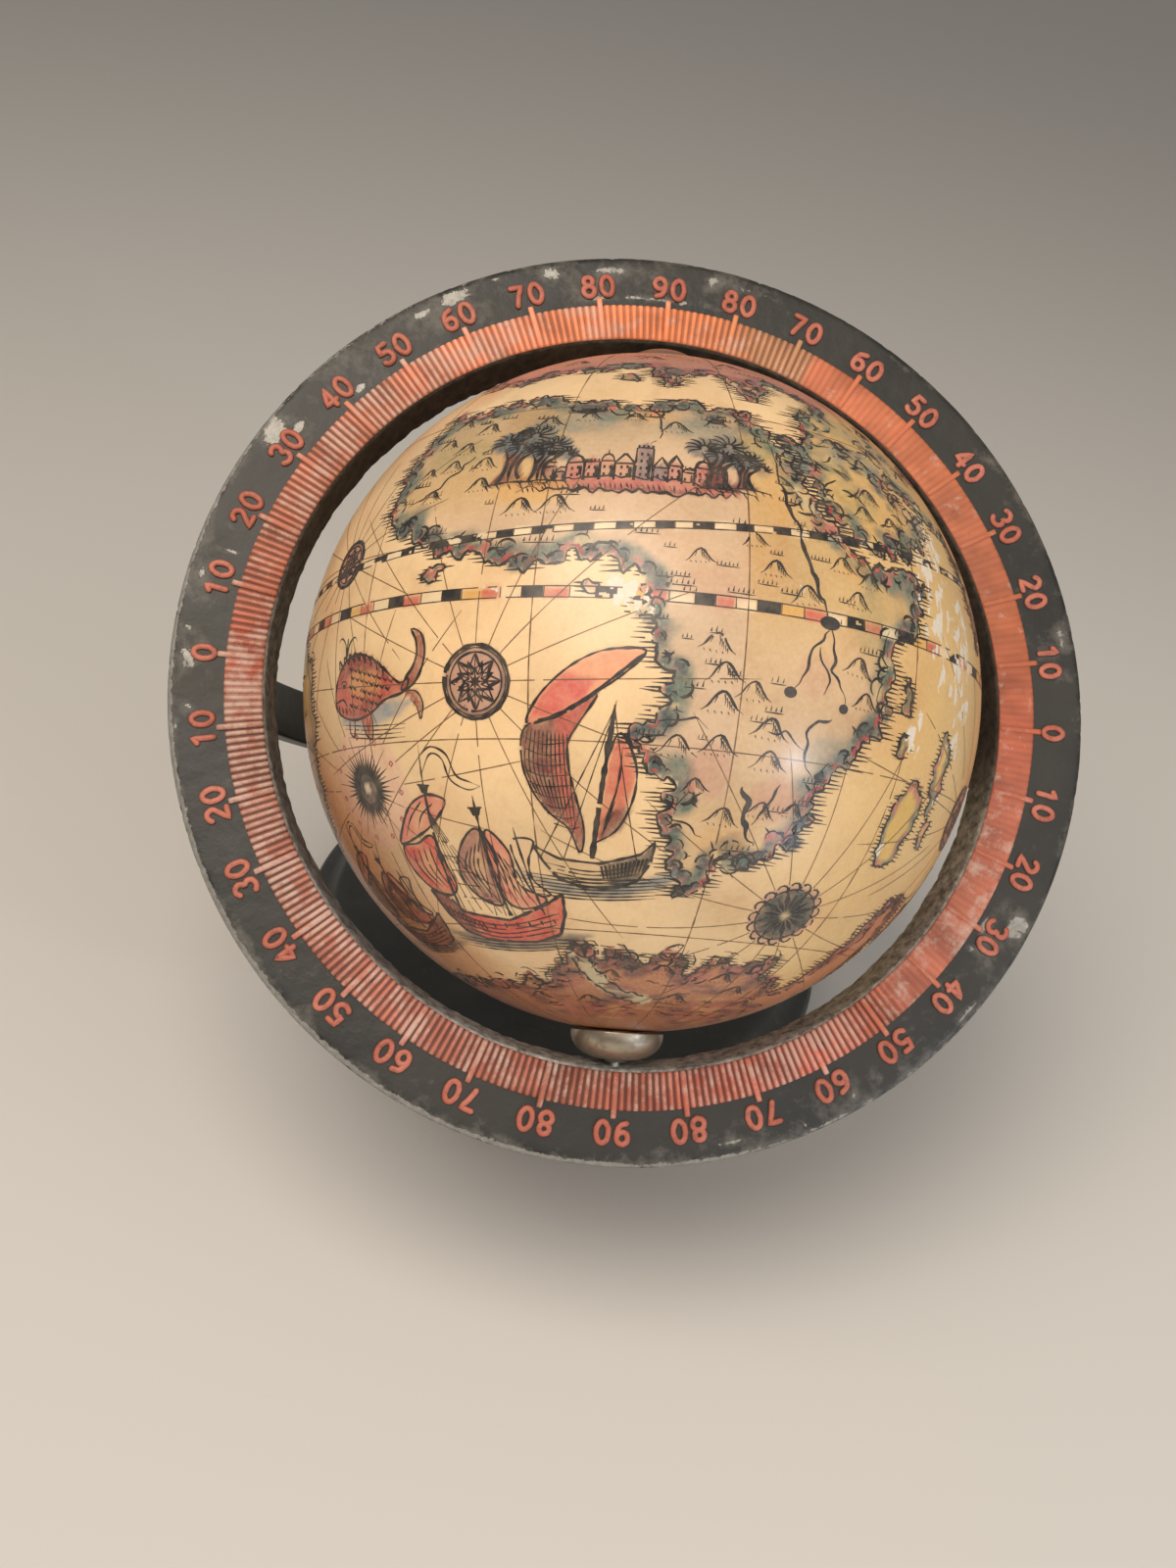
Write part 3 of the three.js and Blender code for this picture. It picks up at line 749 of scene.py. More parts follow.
def direction(lon, lat):
    """Unit vectors (ring-local E, N, F) of map places in degrees."""
    a, b = np.radians(np.asarray(lon, float) - FRONT), np.radians(np.asarray(lat, float))
    return np.stack(np.broadcast_arrays(np.cos(b) * np.sin(a), np.sin(b), np.cos(b) * np.cos(a)), -1)


def place_of(d):
    return np.degrees(np.arctan2(d[:, 0], d[:, 2])) + FRONT, np.degrees(np.arcsin(np.clip(d[:, 1], -1, 1)))


def local(lon, lat, turn=0.0):
    """A flat frame in degrees of arc about a place: a function from (east, north) to unit vectors."""
    c = direction(lon, lat)
    e = np.cross([0, 1, 0], c)
    e /= np.linalg.norm(e)
    n = np.cross(c, e)
    t = math.radians(turn)
    e, n = e * math.cos(t) + n * math.sin(t), n * math.cos(t) - e * math.sin(t)

    def to(xy):
        xy = np.radians(np.asarray(xy, float).reshape(-1, 2))
        r = np.linalg.norm(xy, axis=1)
        s = np.where(r > 1e-9, np.sin(r) / np.maximum(r, 1e-9), 1.0)
        return np.cos(r)[:, None] * c + (xy[:, :1] * e + xy[:, 1:] * n) * s[:, None]

    def back(d):
        r = np.arccos(np.clip(d @ c, -1, 1))
        flat = np.stack([d @ e, d @ n], -1)
        s = np.linalg.norm(flat, axis=1)
        return np.degrees(flat / np.maximum(s, 1e-9)[:, None] * r[:, None])

    to.back = back
    return to


def dense(points, step=0.7, smooth=False, closed=False):
    """Points along a line at an even step, on a smooth curve through them if asked."""
    p = np.asarray(points, float)
    if smooth:
        ends = (p[-1:], p[:2]) if closed else (2 * p[0] - p[1], 2 * p[-1] - p[-2])
        q = np.vstack([ends[0], p, ends[1]])
        t = np.linspace(0, 1, 9)[:-1, None]
        out = []
        for a, b, c, d in zip(q, q[1:], q[2:], q[3:]):
            bend = (2 * a - 5 * b + 4 * c - d) * t ** 2 + (3 * b - a - 3 * c + d) * t ** 3
            out.append(0.5 * (2 * b + (c - a) * t + bend))
        p = np.vstack(out + [q[-2:-1]])
    elif closed:
        p = np.vstack([p, p[:1]])
    run = np.concatenate([[0], np.cumsum(np.linalg.norm(np.diff(p, axis=0), axis=1))])
    at = np.linspace(0, run[-1], max(2, int(run[-1] / step) + 1))
    return np.stack([np.interp(at, run, p[:, k]) for k in range(2)], -1)


def ragged(points, amount=1.0, seed=0, closed=True):
    """An old engraver's coast: the outline with small bays and heads along it."""
    p = dense(points, 0.42, closed=closed)
    t = np.gradient(p, axis=0)
    t /= np.maximum(np.linalg.norm(t, axis=1), 1e-9)[:, None]
    side = np.stack([-t[:, 1], t[:, 0]], -1)
    d = direction(p[:, 0], p[:, 1]) * GLOBE_R
    bays = np.tanh(1.8 * ripple(d, 2.7, 100 + seed)) * 0.82 + ripple(d, 1.15, 200 + seed) * 0.27
    edge = np.minimum(np.arange(len(p)), np.arange(len(p))[::-1])
    fade = 1.0 if closed else smoothstep(edge, 0, 6)
    out = p + side * (bays * amount * fade)[:, None]
    if closed:
        out = np.vstack([out[:-1], out[:1]])
    return out


# The lands' outlines, as longitude and latitude on this map, before they are made ragged
AFRICA = [
    (-32, 38), (-35, 31), (-35.5, 25), (-36, 20), (-33, 15), (-27, 12), (-22, 9), (-15, 8), (-10, 7.5),
    (-5, 6), (0, 8), (5, 7), (8, 6), (10, 5), (9, 2), (11, -1), (13, -4), (14.5, -8), (14, -13),
    (10.5, -15), (9.5, -17), (11, -19), (13, -21), (16, -22), (15.5, -28), (17, -32), (18, -35), (19, -38),
    (20.3, -41), (24, -38), (26, -35), (27.5, -32), (28.5, -34), (30, -35), (31.5, -33), (35.5, -32),
    (38, -30), (40, -28), (40, -21), (43, -18.5), (47.5, -14), (50, -9), (49.5, -5.5), (50, 0), (53, 3),
    (55.5, 5), (58, 12), (51, 12.3), (44, 12), (41.5, 14.5), (38, 18), (36, 22), (34, 27), (31.5, 31),
    (29, 33.5), (27, 36.5), (21, 37), (16, 38), (9.5, 36), (5, 36), (-2, 37.5), (-10, 39), (-20, 38.5),
]
EURASIA = [
    (32, 32), (34.5, 29.5), (37, 23.5), (39.6, 19), (43, 15.8), (47, 14.3), (55, 15.5), (60, 19), (62, 24),
    (57, 25), (53, 28.5), (58, 28), (66, 25), (72, 23), (75, 16), (80, 7), (84, 11), (87, 18), (93, 21),
    (97, 16), (100, 6), (105, -1), (106, 6), (103, 12), (110, 9), (114, 15), (111, 21), (119, 23),
    (126, 30), (123, 38), (130, 35), (134, 43), (146, 50), (158, 58), (170, 66), (150, 73), (110, 76),
    (60, 74), (10, 74), (-20, 70), (-34, 60), (-40, 53), (-34, 48.5), (-26, 46), (-17, 46), (-10, 48),
    (0, 49), (8, 49), (10, 46), (12.5, 42), (14.5, 43.5), (14, 48), (20, 49), (26, 48), (27, 43),
    (30.5, 41.5), (34, 44), (35, 48), (42, 49), (46, 44.5), (41, 41), (37, 39), (39, 35.5), (36, 33),
]
AMERICA = [
    (306, -4), (305, -13), (302, -21), (296, -29), (288, -38), (283, -47), (279, -53), (276, -46),
    (279, -34), (280, -22), (272, -10), (268, 0), (272, 8), (264, 13), (255, 19), (246, 25), (237, 35),
    (231, 45), (222, 55), (206, 62), (214, 70), (250, 74), (285, 72), (296, 62), (306, 55), (303, 47),
    (292, 42), (281, 36), (275, 28), (270, 29), (262, 28), (257, 21), (264, 16), (273, 14), (283, 12),
    (294, 6),
]
SOUTH = [
    (-75, -62), (-60, -61), (-45, -62), (-25, -62), (-17, -60), (-12, -61), (-6, -57), (-1, -50.5),
    (3, -51.5), (5, -54), (8, -52), (11, -54), (13, -52.5), (17, -54), (20, -52), (25, -50.5), (27, -54),
    (29, -58.5), (33, -54), (34.5, -52), (38, -53), (43, -52.5), (51.5, -50.5), (50, -55), (56, -55),
    (62, -59), (67, -58), (70, -50), (72, -38), (76, -34), (82, -37), (88, -50), (98, -58), (120, -56),
    (134, -62), (160, -60), (178, -54), (196, -60), (222, -63), (245, -57), (266, -62), (285, -62),
    (285, -89.5), (-75, -89.5),
]
ISLANDS = [
    [(60, -17.5), (63, -19), (64.5, -24), (62.5, -30), (59.5, -32), (57, -29), (56, -25), (57.5, -20)],
    [(66, -9), (68.5, -12), (69, -18), (67, -22), (65, -17), (64.5, -12)],
    [(68, -22), (70, -23), (70, -27), (68, -26)],
    [(-24, 5), (-21, 5), (-20, 7), (-23, 7.5)],
    [(2, 2.2), (4.6, 2.4), (4.4, 4.2), (2.4, 4)],
    [(52.5, -3.2), (54, -3), (54.5, -8.5), (53, -9)],
    [(54, -11), (55.6, -11.4), (55.2, -15), (53.6, -14.4)],
    [(2, 44), (6, 44), (6, 46.2), (2.4, 46.4)],
    [(84, 3), (87, 4), (87, 8.5), (84.5, 8)],
    [(99, -2), (104, -6), (110, -9), (108, -10.5), (101, -7), (97, -2)],
    [(112, 4), (118, 6), (119, 0), (115, -4), (111, -1)],
    [(124, 2), (127, 4), (126, -3), (123.5, -4)],
    [(122, 10), (126, 15), (124, 19), (120.5, 15)],
    [(137, 32), (145, 36), (148, 42), (143, 41), (138, 36)],
    [(134, -2), (144, -3), (154, -9), (148, -11), (138, -8)],
    [(128, -24), (140, -18), (152, -22), (156, -32), (146, -38), (132, -34)],
    [(176, -12), (181, -12), (182, -16), (177, -17)],
    [(284, 22), (292, 19), (295, 17), (288, 17.5), (282, 20.5)],
    [(-46, 52), (-43, 53), (-42, 58), (-46, 59), (-48, 55)],
]
# The middle of the pale channel through the southern land
CHANNEL = [(-0.5, -53), (1.8, -57), (5.4, -60.4), (10.5, -63.4), (19, -65)]
# Each land's outline, its kind and how ragged its coast is
LANDS = [(AFRICA, "africa", 1.0), (EURASIA, "asia", 1.0), (AMERICA, "america", 1.0), (SOUTH, "south", 0.9)]
LANDS += [(island, "isle", 0.45) for island in ISLANDS]
COASTS = [(ragged(points, amount, 7 * i), kind) for i, (points, kind, amount) in enumerate(LANDS)]


def inside(poly, x, y):
    """Which of the points lie inside a closed line."""
    hit = np.zeros(len(x), bool)
    box = (y >= poly[:, 1].min()) & (y <= poly[:, 1].max())
    at = np.nonzero(box)[0]
    px, py = x[at], y[at]
    flag = np.zeros(len(at), bool)
    for (x0, y0), (x1, y1) in zip(poly[:-1], poly[1:]):
        if y0 == y1:
            continue
        cross = (py >= min(y0, y1)) & (py < max(y0, y1))
        if cross.any():
            k = np.nonzero(cross)[0]
            flag[k] ^= px[k] < x0 + (py[k] - y0) * (x1 - x0) / (y1 - y0)
    hit[at] = flag
    return hit


def inside_map(poly, lon, lat):
    hit = np.zeros(len(lon), bool)
    for shift in (-360, 0, 360):
        near = (lon + shift >= poly[:, 0].min()) & (lon + shift <= poly[:, 0].max())
        if near.any():
            hit[near] |= inside(poly, lon[near] + shift, lat[near])
    return hit


def on_land(lon, lat, *which):
    """Whether a place lies on one of the lands with these numbers."""
    spot = np.array([lon]), np.array([lat])
    return any(inside_map(COASTS[k][0], *spot)[0] for k in which)


def wrapped(lon):
    """Longitudes brought into the range that the map's lists use, which starts at WEST."""
    return (lon - WEST) % 360 + WEST


def spots(table, lon, lat):
    """The strongest of some soft spots: longitude, latitude, half width, half height, strength."""
    most = np.zeros(len(lon))
    for x, y, rx, ry, s in table:
        most = np.maximum(most, s * np.exp(-(((lon - x) / rx) ** 2 + ((lat - y) / ry) ** 2)))
    return most


class Pen:
    """Flat pen lines just above the paper, gathered into one mesh."""

    def __init__(self, lift):
        self.co, self.faces, self.count, self.radius = [], [], 0, GLOBE_R + lift

    def line(self, d, width, taper=(0.0, 0.0), wobble=0.22):
        d = np.asarray(d, float)
        if len(d) < 2:
            return
        d = d / np.linalg.norm(d, axis=1)[:, None]
        t = np.gradient(d, axis=0)
        side = np.cross(d, t)
        side /= np.maximum(np.linalg.norm(side, axis=1), 1e-12)[:, None]
        w = np.full(len(d), float(width)) if np.isscalar(width) else np.asarray(width, float)
        w = w * (1 + wobble * ripple(d * GLOBE_R, 2.1, 31, 8))
        s = np.linspace(0, 1, len(d))
        for reach, u in zip(taper, (s, 1 - s)):
            if reach:
                w = w * (0.18 + 0.82 * smoothstep(u, 0, reach))
        w = np.maximum(w, 0.04)[:, None] / 2 / GLOBE_R
        co = np.concatenate([d - side * w, d + side * w], 1).reshape(-1, 3)
        co = co / np.linalg.norm(co, axis=1)[:, None] * self.radius
        i = np.arange(len(d) - 1) * 2 + self.count
        self.co.append(co)
        self.faces += [(a, a + 2, a + 3, a + 1) for a in i.tolist()]
        self.count += len(co)

    def patch(self, d):
        """A small filled shape: a fan about its middle."""
        d = np.asarray(d, float)
        middle = d.mean(0)
        area = np.cross(d - middle, np.roll(d, -1, 0) - middle).sum(0) @ middle
        if area < 0:
            d = d[::-1]
        co = np.vstack([middle, d])
        self.co.append(co / np.linalg.norm(co, axis=1)[:, None] * self.radius)
        n = len(d)
        self.faces += [(self.count, self.count + 1 + i, self.count + 1 + (i + 1) % n) for i in range(n)]
        self.count += n + 1

    def made(self, name, material):
        """Builds the mesh, without what has been rubbed off."""
        co = np.concatenate(self.co)
        worn = rubbed(co / self.radius)
        faces = [f for f in self.faces if not worn[f[0]]]
        used = np.unique(np.concatenate([np.array(f) for f in faces]))
        new = np.full(len(co), -1)
        new[used] = np.arange(len(used))
        faces = [tuple(int(new[i]) for i in f) for f in faces]
        piece(name, from_ring(co[used]), faces, material, "globe")


# The pens' heights above the paper, in millimetres, and the hand-coloured washes inside outlines
ink = Pen(0.045)
fine = Pen(0.030)
red = Pen(0.040)
fills = []


class Flat:
    """Drawing in a local frame: degrees of arc, x east and y north."""

    def __init__(self, lon, lat, size=1.0, turn=0.0, flip=False):
        self.to, self.size, self.flip = local(lon, lat, turn), size, -1 if flip else 1

    def at(self, p):
        return np.asarray(p, float).reshape(-1, 2) * [self.size * self.flip, self.size]

    def line(self, p, width, smooth=False, taper=(0.25, 0.25), pen=None, closed=False):
        (pen or ink).line(self.to(dense(self.at(p), 0.55, smooth, closed)), width, taper)

    def stroke(self, p, width, end=0.0, start=0.0):
        """A straight-sided line whose start and end taper only if asked."""
        self.line(p, width, taper=(start, end))

    def arc(self, cx, cy, rx, ry, start, end, width, taper=(0.25, 0.25), pen=None):
        steps = max(6, int(abs(end - start) / 15))
        self.line(bow(cx, cy, rx, ry, start, end, steps), width, False, taper, pen)

    def circle(self, r, width):
        self.arc(0, 0, r, r, 0, 360, width, (0, 0))

    def patch(self, p):
        ink.patch(self.to(self.at(p)))

    def fill(self, p, colour, strength, soft, smooth=False):
        p = self.at(p)
        fills.append((self.to, dense(p, 0.6, smooth, True) if smooth else p, colour, strength, soft))

    def disc(self, r, colour, strength, soft, steps=24, end=345):
        self.fill(bow(0, 0, r, r, 0, end, steps), colour, strength, soft)

    def shape(self, p, colour, strength, width, smooth=True, soft=0.4):
        """A wash with a pen line round it."""
        self.fill(p, colour, strength, soft, smooth)
        self.line(p, width, smooth, (0, 0), closed=True)


def polar(angle, r):
    """A point of a rose: the angle in radians from north."""
    return np.array([math.sin(angle), math.cos(angle)]) * r


def ringed_rose(flat, radius, tone):
    flat.disc(radius, tone, 0.85, 0.3)
    flat.disc(radius * 0.8, lin(206, 160, 140), 0.8, 0.3)
    for r, w in ((1.0, 0.42), (0.92, 0.16), (0.8, 0.24)):
        flat.circle(radius * r, w)
    eighth = math.pi / 8
    for ring in range(3):
        for k in range(8):
            a = math.pi / 4 * (k + 0.5 * (ring % 2))
            tip, foot = polar(a, radius * (0.79 - 0.2 * ring)), radius * (0.44 - 0.12 * ring)
            right = polar(a + eighth, foot)
            flat.stroke([polar(a - eighth, foot), tip, right], 0.2)
            flat.stroke([tip, polar(a, foot * 0.6)], 0.14)
            if ring < 2:
                flat.stroke([tip * 0.92, right], 0.22, 0, 0.1)
                flat.stroke([tip * 0.8, right * 0.9], 0.2, 0, 0.1)
    flat.patch([polar(eighth * k, radius * (0.1 if k % 2 else 0.24)) for k in range(16)])


def petal_rose(flat, radius, tone):
    flat.disc(radius * 1.04, lin(198, 150, 124), 0.85, 0.35)
    flat.disc(radius * 0.84, tone, 0.95, 0.3)
    flat.disc(radius * 0.13, lin(206, 182, 138), 0.95, 0.3, 10, 315)
    for k in range(16):
        a = math.pi / 8 * k
        long = radius * (0.86 if k % 2 else 0.7)
        sides = [polar(a + turn, long * 0.6) for turn in (-0.16, 0.16)]
        flat.patch([polar(a, radius * 0.16), sides[0], polar(a, long), sides[1]])
        vein = np.array([polar(a, radius * 0.24), polar(a, long * 0.5), polar(a, long * 0.8)])
        fine.line(flat.to(vein), 0.2, (0, 0.4), 0.1)
        scallop, lean = polar(a + math.pi / 16, radius * 0.92), math.degrees(a)
        flat.arc(*scallop, radius * 0.15, radius * 0.15, -70 - lean, 140 - lean, 0.26, (0, 0))
        flat.stroke([polar(a, radius * 0.84), polar(a, radius * 0.96)], 0.24)
    flat.circle(radius * 0.86, 0.2)


def spiky_rose(flat, radius, tone):
    flat.disc(radius * 1.1, lin(232, 186, 160), 0.7, 0.9, 20)
    flat.disc(radius * 0.46, tone, 0.92, 0.6, 16)
    flat.disc(radius * 0.1, lin(226, 206, 176), 0.95, 0.3, 8, 315)
    for k in range(22):
        a = 2 * math.pi * k / 22
        long = radius * (1.0 if k % 2 else 0.78)
        flat.patch([polar(a - 0.13, radius * 0.3), polar(a, long), polar(a + 0.13, radius * 0.3)])
        flat.stroke([polar(a + 0.14, radius * 0.3), polar(a + 0.14, radius * 0.66)], 0.2, 0.5)
        if k % 2 == 0:
            flat.arc(*polar(a, radius * 0.92), 0.4, 0.4, 0, 360, 0.16, (0, 0), red)
    flat.circle(radius * 0.3, 0.5)


def rose(style, lon, lat, radius, tone, reach):
    """A compass rose with thin rhumb lines running out from it."""
    flat = Flat(lon, lat)
    style(flat, radius, lin(*tone))
    for k in range(16):
        a = math.pi / 8 * k
        stop = reach * (0.75 + 0.35 * ((k * 7) % 5) / 4)
        fine.line(flat.to(dense([polar(a, radius * 1.04), polar(a, stop)], 1.2)), 0.13, (0, 0.1), 0.1)


def hill(lon, lat, size, turn):
    """A hill with its shaded side."""
    flat = Flat(lon, lat, size * 1.22, turn)
    outline = [(-2.5, -0.8), (-1.7, -0.2), (-1.0, 0.85), (-0.2, 1.5), (0.5, 1.35), (1.1, 0.5), (1.7, -0.3),
               (2.5, -0.8)]
    flat.line(outline, 0.26, True)
    flat.line([(0.0, 1.45), (0.7, 1.0), (1.3, 0.1), (1.8, -0.5)], 0.34, True, (0.3, 0.5))
    for k in range(5):
        x = 0.1 + 0.3 * k
        shade = [(x, 1.2 - 0.36 * k), (x + 0.2, 0.5 - 0.36 * k), (x + 0.15, -0.05 - 0.2 * k)]
        flat.stroke(shade, 0.15, 0.6)
    flat.stroke([(-0.7, 0.9), (-1.0, 0.1)], 0.14, 0.6)
    for k in range(4):
        flat.stroke([(-1.7 + 0.8 * k, -0.75), (-1.5 + 0.8 * k, -1.05)], 0.14, 0.5)


def tuft(lon, lat, size, count):
    """A few short strokes of grass or stones."""
    flat = Flat(lon, lat, size)
    for k in range(count):
        flat.stroke([(0.75 * k, 0), (0.75 * k + 0.12, 0.55 + 0.25 * (k % 2))], 0.19, 0.5)
    flat.line([(-0.2, -0.2), (0.75 * count - 0.3, -0.25)], 0.13)


def tree(lon, lat, size):
    """A forked trunk with a few tufted crowns."""
    flat = Flat(lon, lat, size)
    flat.fill([(-2.6, -2.6), (-1.6, -1.2), (-1.5, 0.2), (-2.2, 1.8), (-0.6, 1.0), (0.2, 1.8), (0.0, 0.2),
               (0.4, -1.4), (1.6, -2.6)], lin(112, 50, 52), 0.9, 0.4)
    for stem in ([(-1.7, -2.5), (-1.2, -1.0), (-1.3, 0.4), (-2.0, 1.8)],
                 [(-0.6, -2.4), (-0.7, -0.8), (-0.3, 0.6), (0.6, 1.9)],
                 [(0.7, -2.5), (-0.1, -1.2), (0.1, 0.2), (1.5, 1.2)],
                 [(-1.2, 0.2), (-0.6, 1.2), (-0.6, 2.2)]):
        flat.line(stem, 0.46, True, (0, 0.4))
    for x, y, rx, ry in ((-1.7, 2.3, 1.7, 1.3), (0.6, 2.9, 1.9, 1.5), (2.0, 1.5, 1.5, 1.1),
                         (-0.4, 1.6, 1.3, 0.9)):
        flat.fill(bow(x, y, rx, ry, 0, 330, 12), lin(78, 92, 100), 0.8, 0.6)
        for k in range(9):
            a = math.radians(-20 + 27.5 * k)
            frond = [(0.3, 0.3, 0), (0.8 * rx, 0.8 * ry, 0), (1.1 * rx, 1.1 * ry, 0.25)]
            frond = [(x + u * math.cos(a + bend), y + v * math.sin(a + bend)) for u, v, bend in frond]
            flat.line(frond, 0.27, True, (0, 0.5))
    for k in range(6):
        flat.stroke([(-2.6 + 1.05 * k, -2.5), (-2.2 + 1.05 * k, -3.1)], 0.2, 0.5)
    flat.line([(-2.9, -2.5), (0, -2.3), (3.0, -2.6)], 0.24, True)


def river(points, width, seed):
    p = dense(points, 0.5, True)
    d = direction(p[:, 0], p[:, 1])
    sway = [ripple(d * GLOBE_R, 3.2, base + seed, 8) for base in (400, 450)]
    ink.line(direction(*(p + np.stack(sway, -1) * 0.28).T), width, (0.15, 0.5))


def waves(flat, left, right, y, rows, gap, width):
    rng = np.random.default_rng(int(abs(left * 17 + y * 5)) + 3)
    for k in range(rows):
        a, b = left + rng.uniform(0, 2.5) + 0.3 * k, right - rng.uniform(0, 2.5) - 0.3 * k
        level = y - gap * k
        flat.line([(a, level), ((a + b) / 2, level - 0.25), (b, level + 0.05)], width, True, (0.3, 0.3))


def sail(flat, points, tone, hatch, rim=0.325, strength=0.85):
    """A sail with a paler middle and some hatching."""
    flat.shape(points, tone, strength, rim, soft=0.45)
    middle = np.mean(points, axis=0)
    flat.fill((np.array(points) - middle) * [0.34, 0.6] + middle, lin(232, 190, 140), 0.55, 1.2, True)
    for h in hatch:
        flat.line(h, 0.2, True, (0.1, 0.4))


def tall_ship(lon, lat, size, flip=False, tone=(214, 78, 62)):
    """A generic three-masted ship, origin at the middle of its waterline."""
    flat = Flat(lon, lat, size, 0, flip)
    scarlet, rose_tone, dark = lin(*tone), lin(222, 122, 104), lin(112, 54, 48)
    hull = [(-9.8, 4.6), (-8.6, 1.2), (-6.4, -2.4), (-3, -3.6), (4.5, -3.8), (8.6, -2.6), (10.4, 0.8),
            (11.2, 4.4), (8.6, 3.0), (2, 0.4), (-5, 1.4), (-7, 4.0)]
    shadow = [(-11, -3), (-4, -5.6), (6, -5.4), (13, -3.4), (10, -2.6), (-6, -2.6)]
    flat.fill(shadow, lin(96, 92, 86), 0.75, 1.0)
    flat.shape(hull, scarlet, 0.95, 0.4, False)
    flat.fill([(-9.8, 4.6), (-8.6, 1.2), (-6.4, -2.4), (-4, -3.2), (-5.2, 1.2), (-7, 4.0)], dark, 0.8, 0.5)
    for k in range(4):
        flat.line([(-8.2 + k * 0.8, 1.4 - k * 1.1), (0, -0.6 - k * 0.8), (9.8 - k * 0.5, 1.2 - k * 1.0)],
                  0.16, True, (0.1, 0.1))
    for k in range(9):
        x = -8.4 + 0.7 * k
        flat.stroke([(x, 2.4 - 0.35 * k), (x + 0.5, 0.4 - 0.35 * k)], 0.2, 0.4)
    for k in range(6):
        x = -1 + 1.9 * k
        flat.stroke([(x, -0.3 + 0.1 * k), (x + 0.1, -1.1 + 0.12 * k)], 0.3)
    sail(flat, [(-6.2, 19.5), (-9.5, 17.6), (-12.3, 13.4), (-12.8, 11.6), (-9.6, 13.0), (-6.0, 15.2),
                (-2.8, 18.4), (-3.6, 19.4)],
         rose_tone, [[(-7, 18.6), (-9.6, 16), (-11.4, 13)], [(-5, 18.4), (-7.4, 16.6), (-8.6, 14.4)]])
    sail(flat, [(-12.6, 11.2), (-12.2, 8), (-9.6, 5.0), (-6.4, 4.2), (-4.6, 6), (-5.2, 9.4), (-6.4, 13.6),
                (-9.4, 12.2)],
         scarlet, [[(-10.8 + 1.1 * k, 11.0 + 0.3 * k), (-10.6 + 1.2 * k, 8.2),
                    (-8.2 + 0.9 * k, 5.4)] for k in range(5)])
    sail(flat, [(1.4, 15), (-1.8, 12.4), (-3.2, 8.4), (-1.6, 4.6), (1.8, 3.0), (2.6, 6.4), (3.2, 11)],
         lin(156, 92, 84), [[(1.6 - 0.8 * k, 13.6 - 0.6 * k), (0.2 - 0.7 * k, 9),
                             (1.4 - 0.6 * k, 4.4)] for k in range(4)])
    sail(flat, [(2.6, 14.6), (5.4, 11.6), (5.6, 6.4), (8.8, 3.6), (4.6, 2.4), (2.4, 5.2)],
         rose_tone, [[(3.2 + 0.6 * k, 12.6 - k), (3.8 + 0.7 * k, 8), (3.6 + 0.9 * k, 4)] for k in range(4)])
    sail(flat, [(6.2, 13.0), (9.4, 12.8), (8.0, 10), (7.8, 7), (9.6, 4.4), (7.4, 4.8), (6.4, 8.4)],
         lin(226, 186, 148), [], 0.275, 0.5)
    for x, y, w in ((-6.1, 22.5, 0.42), (1.9, 19.6, 0.4), (7.0, 15, 0.26)):
        flat.line([(x, y), (x + 0.3, 8), (x + 0.6, 1.2)], w, True, (0.1, 0))
    for x, y in ((-6.1, 20.2), (1.9, 17.2)):
        flat.patch([(x - 0.9, y + 0.6), (x + 0.9, y + 0.6), (x + 0.5, y - 0.4), (x - 0.5, y - 0.4)])
        flat.stroke([(x - 1.1, y + 0.7), (x + 1.1, y + 0.7)], 0.24)
    for k in range(6):
        flat.stroke([(-6, 17.5), (-4.8 + 1.5 * k, 1.6)], 0.11)
        flat.stroke([(1.9, 15.5), (0.2 + 1.5 * k, 1.2)], 0.11)
    for k in range(5):
        flat.stroke([(-4.9 + 0.2 * k, 13 - 2.2 * k), (-3.4 + 0.9 * k, 12.7 - 2.2 * k)], 0.1)
    pennant = [
        [(-6.1, 22.4), (-4.2, 25.2), (-2.2, 24.6), (-1.2, 21.8), (1.4, 20.4), (3.4, 20.8)],
        [(-6.1, 24.8), (-4.0, 26.2), (-1.4, 25.2), (-0.2, 22.4), (2.0, 21.4), (3.4, 20.8)],
    ]
    for edge in pennant:
        flat.line(edge, 0.22, True)
    flat.stroke([(-6.1, 26.4), (-6.1, 20)], 0.2, 0, 0.4)
    waves(flat, -11, 12, -3.6, 4, 0.6, 0.16)


